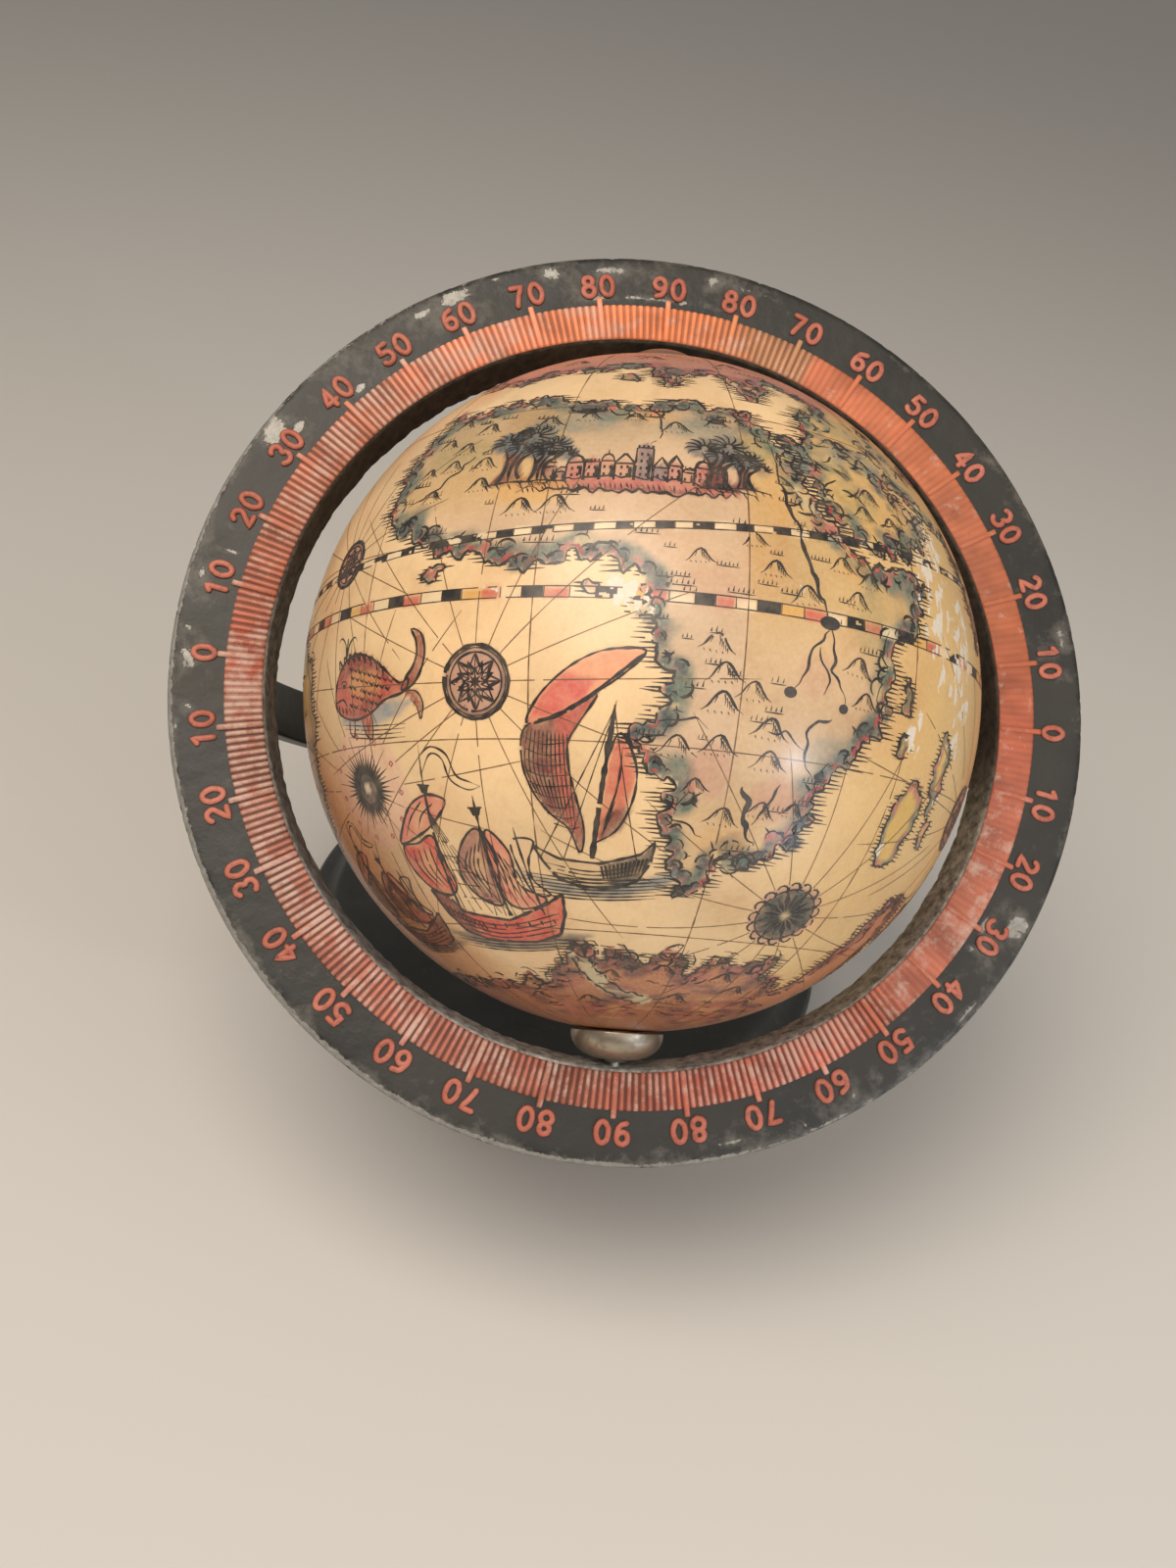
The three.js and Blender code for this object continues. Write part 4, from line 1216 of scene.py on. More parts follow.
def lateen_boat(lon, lat, size):
    """A generic boat under one huge curved sail, origin at the middle of its waterline."""
    flat = Flat(lon, lat, size)
    crescent = [(-9.0, 23.6), (-7.4, 27.6), (-3.6, 31.6), (0.8, 34.2), (5.0, 35.0), (8.6, 34.6),
                (5.4, 31.4), (0.6, 28.2), (-4.4, 25.2)]
    flat.shape(crescent, lin(236, 158, 118), 0.9, 0.3)
    flat.fill([(-8.8, 24.0), (-7.0, 27.8), (-3.4, 31.4), (1.2, 30.4), (-0.6, 27.6), (-4.6, 25.2)],
              lin(214, 98, 88), 0.85, 0.9)
    for k in range(14):
        t = k / 13
        x, y = -4.8 + 11.6 * t, 25.2 + 8.2 * t - 0.6 * math.sin(3 * t)
        flat.stroke([(x, y), (x + 0.35, y - 0.55)], 0.16, 0.4)
    lower = [(-9.2, 23.0), (-9.6, 18.4), (-8.0, 14.0), (-5.2, 10.6), (-2.4, 8.4), (-0.8, 4.6), (-0.2, 8.6),
             (-1.4, 13.6), (-2.6, 18.4), (-2.6, 21.4), (-1.2, 24.0), (1.6, 28.4), (-0.6, 27.2),
             (-4.6, 24.8)]
    flat.shape(lower, lin(128, 62, 58), 0.9, 0.26)
    flat.fill([(-4.6, 24.6), (-1.6, 26.6), (1.2, 28.0), (-1.6, 23.6), (-3.0, 20.4), (-2.0, 14), (-0.8, 7),
               (-3.2, 11), (-4.6, 18)], lin(196, 90, 76), 0.75, 0.8)
    for k in range(11):
        t = k / 10
        flat.line([(-8.8 + 6.0 * t, 23 - 0.4 * t), (-9.0 + 6.8 * t, 17.5 - 1.2 * t),
                   (-6.6 + 5.2 * t, 12.6 - 4.2 * t)], 0.15, True, (0.05, 0.2))
    for k in range(9):
        y = 21.5 - 1.55 * k
        left = -9.0 + 0.05 * k + max(0, k - 4) * 1.0
        flat.line([(left, y), (left + 2.6, y - 0.7), (-2.8 + 0.25 * k, y - 0.2)], 0.11, True, (0, 0.2))
    flat.fill([(1.4, 7), (4.4, 9.5), (6.8, 14), (7.2, 18.6), (5.4, 22.4), (3.6, 19.5), (2.6, 13)],
              lin(206, 104, 80), 0.9, 0.5, True)
    flat.fill([(2.0, 6.6), (5.2, 8.4), (7.0, 12), (4.6, 12.2), (2.4, 10)], lin(110, 56, 50), 0.8, 0.5)
    flat.line([(1.4, 6.4), (4.6, 8.6), (7.0, 13.4), (7.4, 18.4), (5.2, 23.0), (3.4, 19.6), (2.4, 13),
               (1.4, 6.4)], 0.3, True, (0, 0))
    for k in range(7):
        flat.line([(5.4 - 0.2 * k, 21 - 1.6 * k), (5.0 - 0.3 * k, 16 - 1.1 * k),
                   (3.0 - 0.1 * k, 10.5 - 0.5 * k)], 0.14, True)
    flat.line([(4.4, 27.6), (2.6, 16), (0.9, 3.8)], 0.62, True, (0.2, 0))
    fine.line(flat.to(dense(flat.at([(4.2, 27.0), (2.5, 16), (0.9, 4)]), 0.55, True)), 0.3, (0, 0))
    flat.line([(-9.4, 23.2), (-2, 26.6), (8.8, 34.6)], 0.34, True, (0.1, 0.1))
    for p in ((-6.8, 3.4), (7.4, 3.6), (-3.4, 3.2)):
        flat.stroke([(4.2, 26.4), p], 0.12)
    hull = [(-8.0, 5.2), (-6.4, 2.6), (-4.4, 0.2), (-1.0, -1.2), (4.4, -1.2), (7.6, 0.2), (9.4, 3.2),
            (10.2, 6.6), (8.0, 4.6), (2.0, 3.0), (-4.0, 3.4)]
    flat.shape(hull, lin(206, 172, 128), 0.6, 0.34, False)
    flat.fill([(2.4, 3.0), (8.0, 4.4), (10.2, 6.4), (9.4, 3.2), (7.6, 0.2), (4.4, -1.0), (3, 0.4)],
              lin(74, 62, 54), 0.85, 0.4)
    for k in range(5):
        flat.line([(-6.6 + 0.5 * k, 2.6 - 0.75 * k), (1, 1.6 - 0.65 * k), (8.6 - 0.4 * k, 3.0 - 0.85 * k)],
                  0.17, True)
    for k in range(12):
        flat.stroke([(2.2 + 0.62 * k, 2.6 + 0.12 * k), (2.6 + 0.5 * k, 0.1 + 0.12 * k)], 0.3, 0.4)
    flat.fill([(-11, 0.6), (-4, -2.6), (4, -3.2), (12, -0.8), (13.4, 1.6), (8, 0.2), (0, -1.4), (-6, -0.4)],
              lin(112, 126, 132), 0.8, 0.9)
    waves(flat, -12, 14, 0.4, 7, 0.6, 0.2)


def whale(lon, lat, size, flip=False, turn=0.0):
    """A generic spouting whale."""
    flat = Flat(lon, lat, size, turn, flip)
    body = [(-10.2, -2.6), (-9.6, 1.0), (-7.2, 4.0), (-3.4, 5.4), (1.0, 4.6), (5.0, 2.2), (8.0, 0.4),
            (10.0, 1.2), (9.0, -1.0), (4.6, -2.2), (0.6, -4.4), (-4.0, -5.4), (-8.4, -4.6)]
    water = [(-10, -5.4), (-2, -7.4), (8, -4.6), (11, -2.4), (6, -2.2), (-2, -4.4)]
    flat.fill(water, lin(128, 146, 160), 0.75, 1.0)
    flat.shape(body, lin(192, 82, 66), 0.95, 0.3)
    tail = [(8.4, -0.8), (9.4, 1.2), (10.8, 2.8), (11.6, 5.0), (11.2, 7.2), (10.0, 9.0), (12.2, 8.2),
            (13.2, 5.6), (12.8, 2.8), (11.2, 0.2)]
    flat.shape(tail, lin(150, 70, 58), 0.9, 0.32, soft=0.3)
    fluke = [(9.0, -1.0), (11.6, -1.0), (13.0, -3.0), (12.4, -5.6), (11.8, -3.6), (10.4, -2.2)]
    flat.fill(fluke, lin(150, 70, 58), 0.9, 0.3)
    flat.line(fluke, 0.26, True)
    flank = [(-6, 2.0), (-2, 3.4), (3, 2.2), (3.4, -0.4), (-1, -1.6), (-5, -1.0)]
    flat.fill(flank, lin(214, 164, 96), 0.6, 1.2)
    back = [(-9.6, 0.6), (-7.2, 3.6), (-3.4, 5.0), (1.0, 4.2), (5.0, 1.8), (2, 2.4), (-3, 3.0), (-7, 1.4)]
    flat.fill(back, lin(136, 52, 52), 0.8, 0.8)
    belly = [(-9, -3.6), (-4, -5.0), (0.6, -4.0), (4.6, -2.0), (1, -2.4), (-5, -3.2)]
    flat.fill(belly, lin(146, 60, 54), 0.7, 0.7)
    for k in range(9):
        t = k / 8
        x, y = -8.2 + 13 * t, 3.2 + 6.2 * t - 7.6 * t * t
        spine = [(x - 0.7, y - 0.2), (x - 0.9, y + 1.5), (x + 0.9, y - 0.1)]
        flat.fill(spine, lin(150, 62, 58), 0.9, 0.3)
        flat.stroke(spine, 0.28)
    flat.line([(-10.2, -2.6), (-7.6, -2.0), (-6.2, -3.2)], 0.28, True)
    flat.patch(bow(-7.2, 0.2, 0.5, 0.42, 0, 315, 8))
    flat.arc(-7.2, 0.3, 1.0, 0.8, 0, 180, 0.16)
    for row in range(5):
        for k in range(9 - row):
            x, y = -4.8 + 1.35 * k + 0.6 * (row % 2), 3.4 - 1.5 * row - 0.28 * k
            if -4.6 < y < 4.2:
                flat.arc(x, y, 0.62, 0.6, 195, 355, 0.3, (0, 0.3))
    flat.line([(-2, -4.8), (-1.0, -7.8), (0.6, -8.6), (1.0, -6.2), (0.8, -4.2)], 0.26, True)
    flat.fill([(-2, -4.8), (-1.0, -7.8), (0.6, -8.6), (1.0, -4.4)], lin(196, 96, 72), 0.9, 0.3)
    flat.line([(-5.6, -5), (-5.8, -7.4), (-4.6, -8.2), (-4.0, -5.4)], 0.24, True)
    for k in range(8):
        high, low = -2.9 - 0.3 * k + 0.05 * k * k, -4.5 - 0.16 * k + 0.06 * k * k
        flat.line([(-9.2 + 1.2 * k, high), (-8.9 + 1.25 * k, low)], 0.28)
    for lean in (-1.6, 0, 1.5):
        spout = [(-6.6 + lean * share, y) for share, y in ((0, 4.6), (0.4, 7.2), (1.4, 8.4), (2, 7.6))]
        flat.line(spout, 0.24, True, (0, 0.4))
    waves(flat, -9, 10, -6.2, 4, 0.7, 0.14)


def town(lon, lat, size, towers, seed):
    """A strip of generic roofs and towers on a coloured ground."""
    rng = np.random.default_rng(seed)
    flat = Flat(lon, lat, size)
    half = towers * 1.35
    xs = np.arange(-half - 3.4, half + 3.6, 0.9)
    droop = (np.abs(xs) / half) ** 4
    top = np.column_stack([xs, 0.2 + rng.uniform(-0.25, 0.45, len(xs)) - 0.5 * droop])
    foot = np.column_stack([xs, -2.0 + rng.uniform(-0.6, 0.6, len(xs)) + 0.7 * droop])
    flat.fill(np.vstack([top, foot[::-1]]), lin(190, 104, 94), 0.9, 0.5)
    flat.fill(np.vstack([foot * [1, 0.62], foot[::-1]]), lin(128, 62, 60), 0.75, 0.6)
    flat.line(top, 0.22, True)
    flat.line(foot, 0.34, True)
    tones = [lin(186, 106, 100), lin(134, 82, 88), lin(196, 142, 116), lin(112, 88, 102)]
    x = -half
    while x < half:
        middle = 1 - abs(x) / half
        w = rng.uniform(0.5, 1.35)
        h = rng.uniform(0.9, 2.6) + rng.uniform(0, 4.2) * middle ** 1.5
        x += w
        tone = tones[int(rng.integers(0, 4))]
        flat.fill([(x - w, 0), (x - w, h), (x, h + 0.9), (x + w, h), (x + w, 0)], tone, 0.8, 0.4)
        flat.stroke([(x - w, -0.2), (x - w, h), (x + w, h), (x + w, -0.2)], 0.24)
        style = int(rng.integers(0, 4))
        if style == 0 and w > 0.8:
            flat.arc(x, h, w * 0.9, 1.3, 0, 180, 0.3, (0, 0))
            flat.stroke([(x, h + 1.2), (x, h + 2.2)], 0.2, 0.5)
        elif style == 1:
            flat.stroke([(x - w * 1.1, h), (x, h + 1.9), (x + w * 1.1, h)], 0.32)
        elif style == 2:
            for side in (-0.8, -0.25, 0.3, 0.85):
                flat.stroke([(x + side * w, h), (x + side * w, h + 0.5)], 0.3)
        else:
            flat.stroke([(x - w, h), (x - w * 0.2, h + 0.9), (x + w, h + 0.7)], 0.26)
        for j in range(int(h / 1.3)):
            for side in (-0.4, 0.4)[: 1 if w < 0.8 else 2]:
                y = 0.5 + 1.25 * j + rng.uniform(-0.1, 0.1)
                left, right = x + side - 0.15, x + side + 0.15
                flat.patch([(left, y), (right, y), (right, y + 0.5), (left, y + 0.5)])
        for j in range(3):
            flat.stroke([(x + w * 0.5 + 0.14 * j, 0.2), (x + w * 0.5 + 0.14 * j, h * 0.8)], 0.15, 0.3)
        x += w + rng.uniform(-0.1, 0.4)
    for k in range(int(half * 3.2)):
        x = -half - 2.6 + k * 0.72
        head = (x, -0.5 - rng.uniform(0, 0.5))
        flat.line([head, (x + rng.uniform(0.1, 0.5), -1.5 - rng.uniform(0, 0.5))], 0.24)


def draw_band(to_lat, thick, tones, step, seed):
    """A chequered band round the globe, whose latitude may change with the longitude."""
    rng = np.random.default_rng(seed)
    lon = WEST
    k = 0
    while lon < WEST + 360:
        run = step * rng.uniform(0.85, 1.15)
        xs = np.linspace(lon, lon + run * 0.96, 7)
        mid = np.array([to_lat(x) for x in xs])
        tone = tones[k % len(tones)]
        sides = [np.column_stack([xs, mid + half]) for half in (thick / 2, -thick / 2)]
        if tone is None:
            for j in range(5):
                ink.line(direction(xs, mid + thick * (j - 2) / 5), 0.32, (0, 0), 0.1)
        else:
            to = local(lon + run / 2, float(mid[3]))
            outline = np.vstack([sides[0], sides[1][::-1]])
            fills.append((to, to.back(direction(*outline.T)), tone, 0.85, 0.25))
            ink.line(direction(xs[[0, 0]], mid[0] + np.array([-0.5, 0.5]) * thick), 0.12, (0, 0))
        lon += run
        k += 1
    for edge in (-0.5, 0.5):
        xs = np.arange(WEST, WEST + 360.5, 1.5)
        ink.line(direction(xs, np.array([to_lat(x) for x in xs]) + edge * thick), 0.13, (0, 0), 0.15)


def inward(line):
    """Unit vectors to the left of a line, which is the land's side of a coast."""
    t = np.gradient(line, axis=0)
    t /= column(np.maximum(np.linalg.norm(t, axis=1), 1e-9))
    return np.stack([-t[:, 1], t[:, 0]], -1)


def draw_coast(part, kind, rng):
    """A stretch of coast, with dabs of red and short relief strokes behind it."""
    d = direction(*part.T)
    ink.line(d, 0.3, (0, 0), 0.35)
    side = inward(part)
    inner = part + side * 0.55
    if kind in ("africa", "south", "asia"):
        for k in range(2, len(inner) - 5, 5):
            if rng.random() < 0.3:
                red.line(direction(*inner[k:k + 4].T), rng.uniform(0.3, 0.55), (0.3, 0.3), 0.5)
    if kind == "isle" or len(part) <= 20:
        return
    deep = part + side * column(1.5 + 0.5 * ripple(d * GLOBE_R, 4, 91))
    on = ripple(d * GLOBE_R, 2.6, 92) > 0.1
    for run in np.split(np.arange(len(on)), np.nonzero(np.diff(on.astype(int)))[0] + 1):
        if on[run[0]] and len(run) > 3:
            ink.line(direction(*deep[run].T), 0.26, (0.4, 0.4), 0.3)
            k = run[len(run) // 2]
            ink.line(direction(*np.array([deep[k], part[k] * 0.4 + deep[k] * 0.6]).T), 0.3, (0.2, 0.2))


def draw_bays(line, kind, rng):
    """Small tinted bays and headlands just inside a coast."""
    d = direction(*line.T)
    run = np.concatenate([[0], np.cumsum(np.degrees(np.linalg.norm(np.diff(d, axis=0), axis=1)))])
    at = 0.0
    while at < run[-1] - 2:
        at += rng.uniform(1.1, 2.6)
        k = int(np.searchsorted(run, at))
        if k >= len(line) - 2 or abs(line[k, 1]) > SOUTH_EDGE:
            continue
        flat = Flat(*line[k])
        ahead = flat.to.back(d[min(k + 2, len(d) - 1)][None])[0] - flat.to.back(d[max(k - 2, 0)][None])[0]
        side = np.array([-ahead[1], ahead[0]]) / max(np.linalg.norm(ahead), 1e-6)
        if not inside_map(line, *place_of(flat.to([side * 0.8])))[0]:
            side = -side
        r = rng.choice([0.45, 0.6, 0.85, 1.25]) * rng.uniform(0.85, 1.15)
        x, y = side * (r * 0.9 + rng.uniform(0.1, 0.7))
        pick = rng.random()
        tones = SOUTH_BAY_TONES if kind == "south" else BAY_TONES
        tone = next(lin(*rgb) for below, rgb in tones if pick < below)
        blob = bow(0, 0, r * rng.uniform(0.9, 1.7), r * rng.uniform(0.7, 1.0), 0, 324, 9)
        blob = blob * rng.uniform(0.75, 1.25, (9, 1))
        facing = math.atan2(side[1], side[0])
        c, s = math.cos(facing), math.sin(facing)
        flat.fill(blob @ np.array([[-s, c], [c, s]]) + [x, y], tone, 0.8, 0.45, True)
        facing = math.degrees(facing)
        start, end = facing - rng.uniform(40, 100), facing + rng.uniform(40, 100)
        flat.arc(x, y, r * 1.1, r, start, end, rng.uniform(0.24, 0.4), (0.2, 0.2))
        if pick > 0.5:
            tip = side * (2 * r + 1.3) + rng.uniform(-0.4, 0.4, 2)
            flat.stroke([side * (2 * r + 0.3), tip], 0.26, 0.5)


def draw_sea_hatching(line, kind, rng):
    """Level strokes on the sea side of a coast."""
    for lat in np.arange(line[:, 1].min() + 0.3, line[:, 1].max(), 0.66):
        if lat < -SOUTH_EDGE or lat > 68:
            continue
        y0, y1 = line[:-1, 1], line[1:, 1]
        hit = (np.minimum(y0, y1) <= lat) & (np.maximum(y0, y1) > lat)
        share = (lat - y0[hit]) / (y1[hit] - y0[hit])
        x = np.sort(line[:-1, 0][hit] + share * (line[1:, 0][hit] - line[:-1, 0][hit]))
        squeeze = 1 / max(0.3, math.cos(math.radians(lat)))
        for j, lon in enumerate(x):
            seaward = -1 if j % 2 == 0 else 1
            reach = rng.uniform(1.7, 3.1) * squeeze * (0.55 if kind == "isle" else 1)
            if 0 <= j + seaward < len(x):
                room = abs(x[j + seaward] - lon)
                reach = room * 0.42 if room < 2.2 * reach else reach
            if reach < 0.25:
                continue
            xs = np.linspace(lon, lon + seaward * reach, max(3, int(reach / 1.2) + 2))
            ys = lat + rng.normal(0, 0.05) + 0.04 * np.arange(len(xs)) * rng.normal()
            ink.line(direction(xs, ys), rng.uniform(0.18, 0.26), (0, 0.7), 0.1)


# Coasts are drawn down to this latitude. A bay takes the first colour whose bound is above its pick.
SOUTH_EDGE = 66
SOUTH_BAY_TONES = [(0.35, (178, 100, 84)), (1, (74, 38, 36))]
BAY_TONES = [(0.5, (54, 70, 74)), (0.64, (190, 104, 92)), (0.8, (214, 188, 140)), (1, (84, 106, 92))]


def draw_map():
    rng = np.random.default_rng(5)
    for line, kind in COASTS:
        parts = [line]
        if kind == "south":
            keep = line[line[:, 1] > -SOUTH_EDGE]
            parts = np.split(keep, np.nonzero(np.abs(np.diff(keep[:, 0])) > 5)[0] + 1)
        for part in parts:
            if len(part) > 2:
                draw_coast(part, kind, rng)
    for line, kind in COASTS:
        if kind not in ("isle", "america"):
            draw_bays(line, kind, rng)
    for line, kind in COASTS:
        draw_sea_hatching(line, kind, rng)
    # Gore seams, the level lines and the chequered bands
    for lon in range(-65, 295, 30):
        fine.line(direction(lon, np.arange(-84, 84.1, 1.5)), 0.16, (0, 0), 0.3)
    for lat in (-18, 36, -48):
        fine.line(direction(np.arange(WEST, 285.1, 1.5), lat), 0.14, (0, 0), 0.2)
    cream, brick, straw = lin(240, 218, 180), lin(206, 92, 72), lin(220, 166, 76)
    draw_band(lambda x: 2.5, 1.6, [None, brick, cream, None, straw, brick, cream], 3.3, seed=2)
    draw_band(lambda x: 13 + 4.2 * math.sin(math.radians(x - 12)), 1.1, [None, cream], 2.9, seed=3)
    # Compass roses
    rose(ringed_rose, -13.2, -10, 5.2, (132, 98, 92), 40)
    rose(ringed_rose, -43.5, 11, 3.9, (110, 60, 58), 26)
    rose(spiky_rose, -38.5, -24.5, 8.6, (44, 38, 36), 30)
    rose(petal_rose, 44, -42, 5.6, (56, 64, 56), 36)
    rose(ringed_rose, 85, -20, 5.5, (110, 92, 76), 34)
    rose(petal_rose, 205, -30, 6.5, (96, 104, 92), 42)
    rose(spiky_rose, 190, 22, 5.5, (44, 38, 36), 40)
    rose(ringed_rose, 232, 2, 5, (120, 66, 62), 34)
    # Ships and whales
    tall_ship(-17.5, -47.3, 1.08)
    tall_ship(-47, -50, 0.8, tone=(150, 84, 60))
    lateen_boat(3.5, -38.8, 0.96)
    whale(-34.2, -9.4, 0.9, turn=-4)
    tall_ship(98, -40, 0.85, True)
    whale(168, 2, 1.0, True)
    lateen_boat(215, 22, 0.75)
    tall_ship(250, -36, 0.9)
    whale(262, -14, 0.7)
    tall_ship(160, 34, 0.55)
    # Town strips and trees
    town(7, 20.4, 1.05, 9, 3)
    town(78, 36, 0.9, 7, 4)
    town(110, 40, 0.8, 5, 6)
    town(262, 38, 0.8, 5, 7)
    for lon, lat, size in ((-11, 24.2, 1.75), (-6.4, 23.2, 1.3), (21.6, 23.6, 1.6), (25.4, 23, 1.1),
                           (92, 30, 0.8), (100, 48, 0.8), (280, -8, 0.9), (288, -14, 0.8), (250, 46, 0.8),
                           (66, 48, 0.7), (120, 54, 0.8), (143, -27, 0.7)):
        tree(lon, lat, size)
    # Hills
    for lon, lat, size in (
            (-9, 15.4, 0.95), (-3.5, 15.6, 1.0), (-17, 20, 0.8), (-17.5, 24, 0.85), (-24, 24.5, 0.75),
            (-23, 28, 0.8), (-28, 30, 0.7), (-26, 19, 0.7), (-29, 24, 0.6), (-20, 32, 0.8), (-8, 32, 0.8),
            (-27, 34.5, 0.7), (21, -3.6, 0.9), (22.5, -7.6, 0.95), (22.5, -11.7, 1.0), (22.7, -17.6, 0.95),
            (16.6, -18.2, 1.0), (26.8, -9.7, 0.9), (30, -14.6, 1.0), (30.6, -19, 0.95), (25, -27.6, 0.9),
            (34, 4.8, 0.95), (42.5, 5.6, 0.85), (43, -4, 0.9), (45, -8.6, 0.8), (29, 8, 0.8),
            (18, 8.6, 0.7), (31, -26, 0.8), (36.5, -25.5, 0.7), (20, -23.4, 0.7), (40, 10.5, 0.8),
            (45, 9, 0.8), (26, 12, 0.7), (14, 31, 0.8), (-1, 33, 0.7), (7, 33, 0.6), (21, 33, 0.7),
            (48, 24, 0.9), (52, 20, 0.8), (46, 20.5, 0.8), (50, 31, 0.8), (56, 35, 0.9), (44, 34, 0.8),
            (64, 33, 0.9), (70, 40, 0.9), (60, 42, 0.8), (78, 28, 0.9), (84, 27, 0.9), (90, 44, 0.9),
            (100, 30, 0.9), (106, 34, 0.8), (112, 30, 0.8), (118, 46, 0.9), (78, 20, 0.7), (81, 14, 0.7),
            (130, 54, 0.9), (96, 56, 0.9), (70, 56, 0.9), (50, 58, 0.9), (30, 56, 0.9), (8, 56, 0.8),
            (-12, 54, 0.8), (276, -20, 0.9), (284, -26, 0.9), (282, -34, 0.8), (292, -8, 0.9),
            (298, -16, 0.8), (280, 4, 0.8), (244, 36, 0.9), (252, 32, 0.8), (270, 42, 0.9), (280, 50, 0.9),
            (238, 50, 0.9), (256, 56, 0.9), (230, 60, 0.8), (138, -30, 0.8), (148, -28, 0.8), (8, -58, 0.7),
            (22, -56, 0.8), (40, -57, 0.8), (30, -64, 0.9), (48, -60, 0.8), (60, -64, 0.8), (0, -66, 0.8),
            (-20, -66, 0.8), (90, -60, 0.8), (180, -62, 0.9), (240, -62, 0.9)):
        hill(lon, lat, size, rng.normal(0, 4))
    # Hand-tinted ground inland
    teal, sand = lin(112, 128, 120), lin(214, 164, 92)
    rose_tone, moss = lin(190, 124, 108), lin(148, 142, 92)
    for lon, lat, rx, ry, tone, strength in (
            (-8, 18.5, 6, 2.6, sand, 0.6), (-24, 27, 6, 3, moss, 0.35), (-4, 31.5, 7, 2, teal, 0.5),
            (18, 31.5, 6, 2.2, teal, 0.5), (10, 33.4, 4, 1.4, sand, 0.4), (30, 22, 2.2, 7, sand, 0.45),
            (34, 28, 3, 3, teal, 0.55), (27, 29, 3, 3, moss, 0.4), (45, 23, 4, 4, moss, 0.4),
            (49, 32, 5, 3, teal, 0.5), (42, 30, 2.4, 4, teal, 0.5), (56, 26, 3, 5, sand, 0.5),
            (47, 40, 6, 3, moss, 0.4), (60, 38, 4, 3, teal, 0.4), (42, 12, 3, 4, sand, 0.4),
            (45, 3, 3, 5, moss, 0.3), (40, -17, 4, 3, teal, 0.4), (33, -24, 4, 3, rose_tone, 0.4),
            (22, -21, 3, 4, rose_tone, 0.35), (26, -31, 4, 2, sand, 0.4), (36, -6, 3, 3, rose_tone, 0.25),
            (20, 4, 5, 3, rose_tone, 0.2)):
        Flat(lon, lat).fill(bow(0, 0, rx, ry, 0, 330, 12), tone, strength, 1.6)
    # Dark relief strokes and tints in the north-east
    tones = [(104, 108, 76), (84, 100, 96), (176, 128, 96), (214, 178, 104), (92, 88, 60)]
    for k in range(150):
        lon, lat = rng.uniform(30, 64), rng.uniform(13, 44)
        if not on_land(lon, lat, 0, 1):
            continue
        flat = Flat(lon, lat, rng.uniform(0.7, 1.2), rng.uniform(-50, 50))
        blob = bow(0, 0, rng.uniform(0.6, 1.8), rng.uniform(0.4, 0.9), 0, 330, 10)
        flat.fill(blob * rng.uniform(0.8, 1.2, (10, 1)), lin(*tones[k % 5]), 0.65, 0.6)
        if k % 2:
            sway = np.column_stack([(-1.6, -0.5, 0.6, 1.7), rng.uniform(-0.5, 0.5, 4)])
            flat.line(sway, rng.uniform(0.24, 0.42), True, (0.3, 0.4))
    # Tufts between the hills
    for k in range(260):
        lon, lat = rng.uniform(-34, 300), rng.uniform(-40, 60)
        if on_land(lon, lat, 0, 1, 2):
            tuft(lon, lat, rng.uniform(0.7, 1.1), int(rng.integers(3, 7)))
    for k in range(90):
        lon, lat = rng.uniform(-33, 52), rng.uniform(-34, 37)
        if on_land(lon, lat, 0) and not (-14 < lon < 28 and 17 < lat < 29):
            tuft(lon, lat, rng.uniform(0.7, 1.15), int(rng.integers(3, 7)))
    # Rivers, with their widths, and the lakes that they run from
    for seed, (width, points) in enumerate((
            (0.5, [(37.5, 2.4), (36, 6), (34, 10), (33, 15), (31.4, 20), (30.6, 25), (29.8, 31)]),
            (0.42, [(37.5, 1), (35.6, -2), (34.4, -5), (32.6, -8)]),
            (0.36, [(38, 1), (38.6, -3), (39.6, -6), (41, -9.4)]),
            (0.26, [(36.4, -2), (37.8, -6), (37.6, -9)]),
            (0.3, [(40, -11), (37, -12.6), (35.8, -15), (36.6, -18.4), (38.6, -21.4)]),
            (0.26, [(30, -15), (33, -14.4), (35.6, -16.4)]),
            (0.62, [(27, -22.6), (28.6, -25.6), (29.4, -28.4), (31.6, -31.6)]),
            (0.34, [(33.6, -21.6), (32, -25), (30, -27.4)]),
            (0.26, [(-31, 18.6), (-25, 21.4), (-18, 27.6), (-13, 30)]),
            (0.24, [(10, 35.6), (11.6, 31), (10.4, 27)]),
            (0.24, [(13.8, -14.6), (18, -13.6), (21, -15)]),
            (0.22, [(16, -27.6), (20, -29), (23, -31)]),
            (0.3, [(58, 28.6), (56, 33), (51, 38)]),
            (0.3, [(73, 24), (75, 30), (79, 34)]),
            (0.3, [(93, 22), (90, 26), (82, 30)]),
            (0.3, [(118, 26), (110, 32), (100, 38)]),
            (0.4, [(300, -4), (290, -4), (280, -6)]),
            (0.36, [(262, 28), (262, 36), (268, 46)]),
            (0.3, [(60, 74), (62, 64), (56, 54)]),
    ), 1):
        river(points, width, seed)
    for lon, lat, rx, ry in ((37.6, 1.7, 1.7, 1.0), (32.2, -8.8, 1.0, 0.8), (41.2, -9.9, 0.8, 0.7),
                             (-12, 30.4, 1.1, 0.7), (262, 47, 1.5, 1)):
        Flat(lon, lat).patch(bow(0, 0, rx, ry, 0, 330, 12))
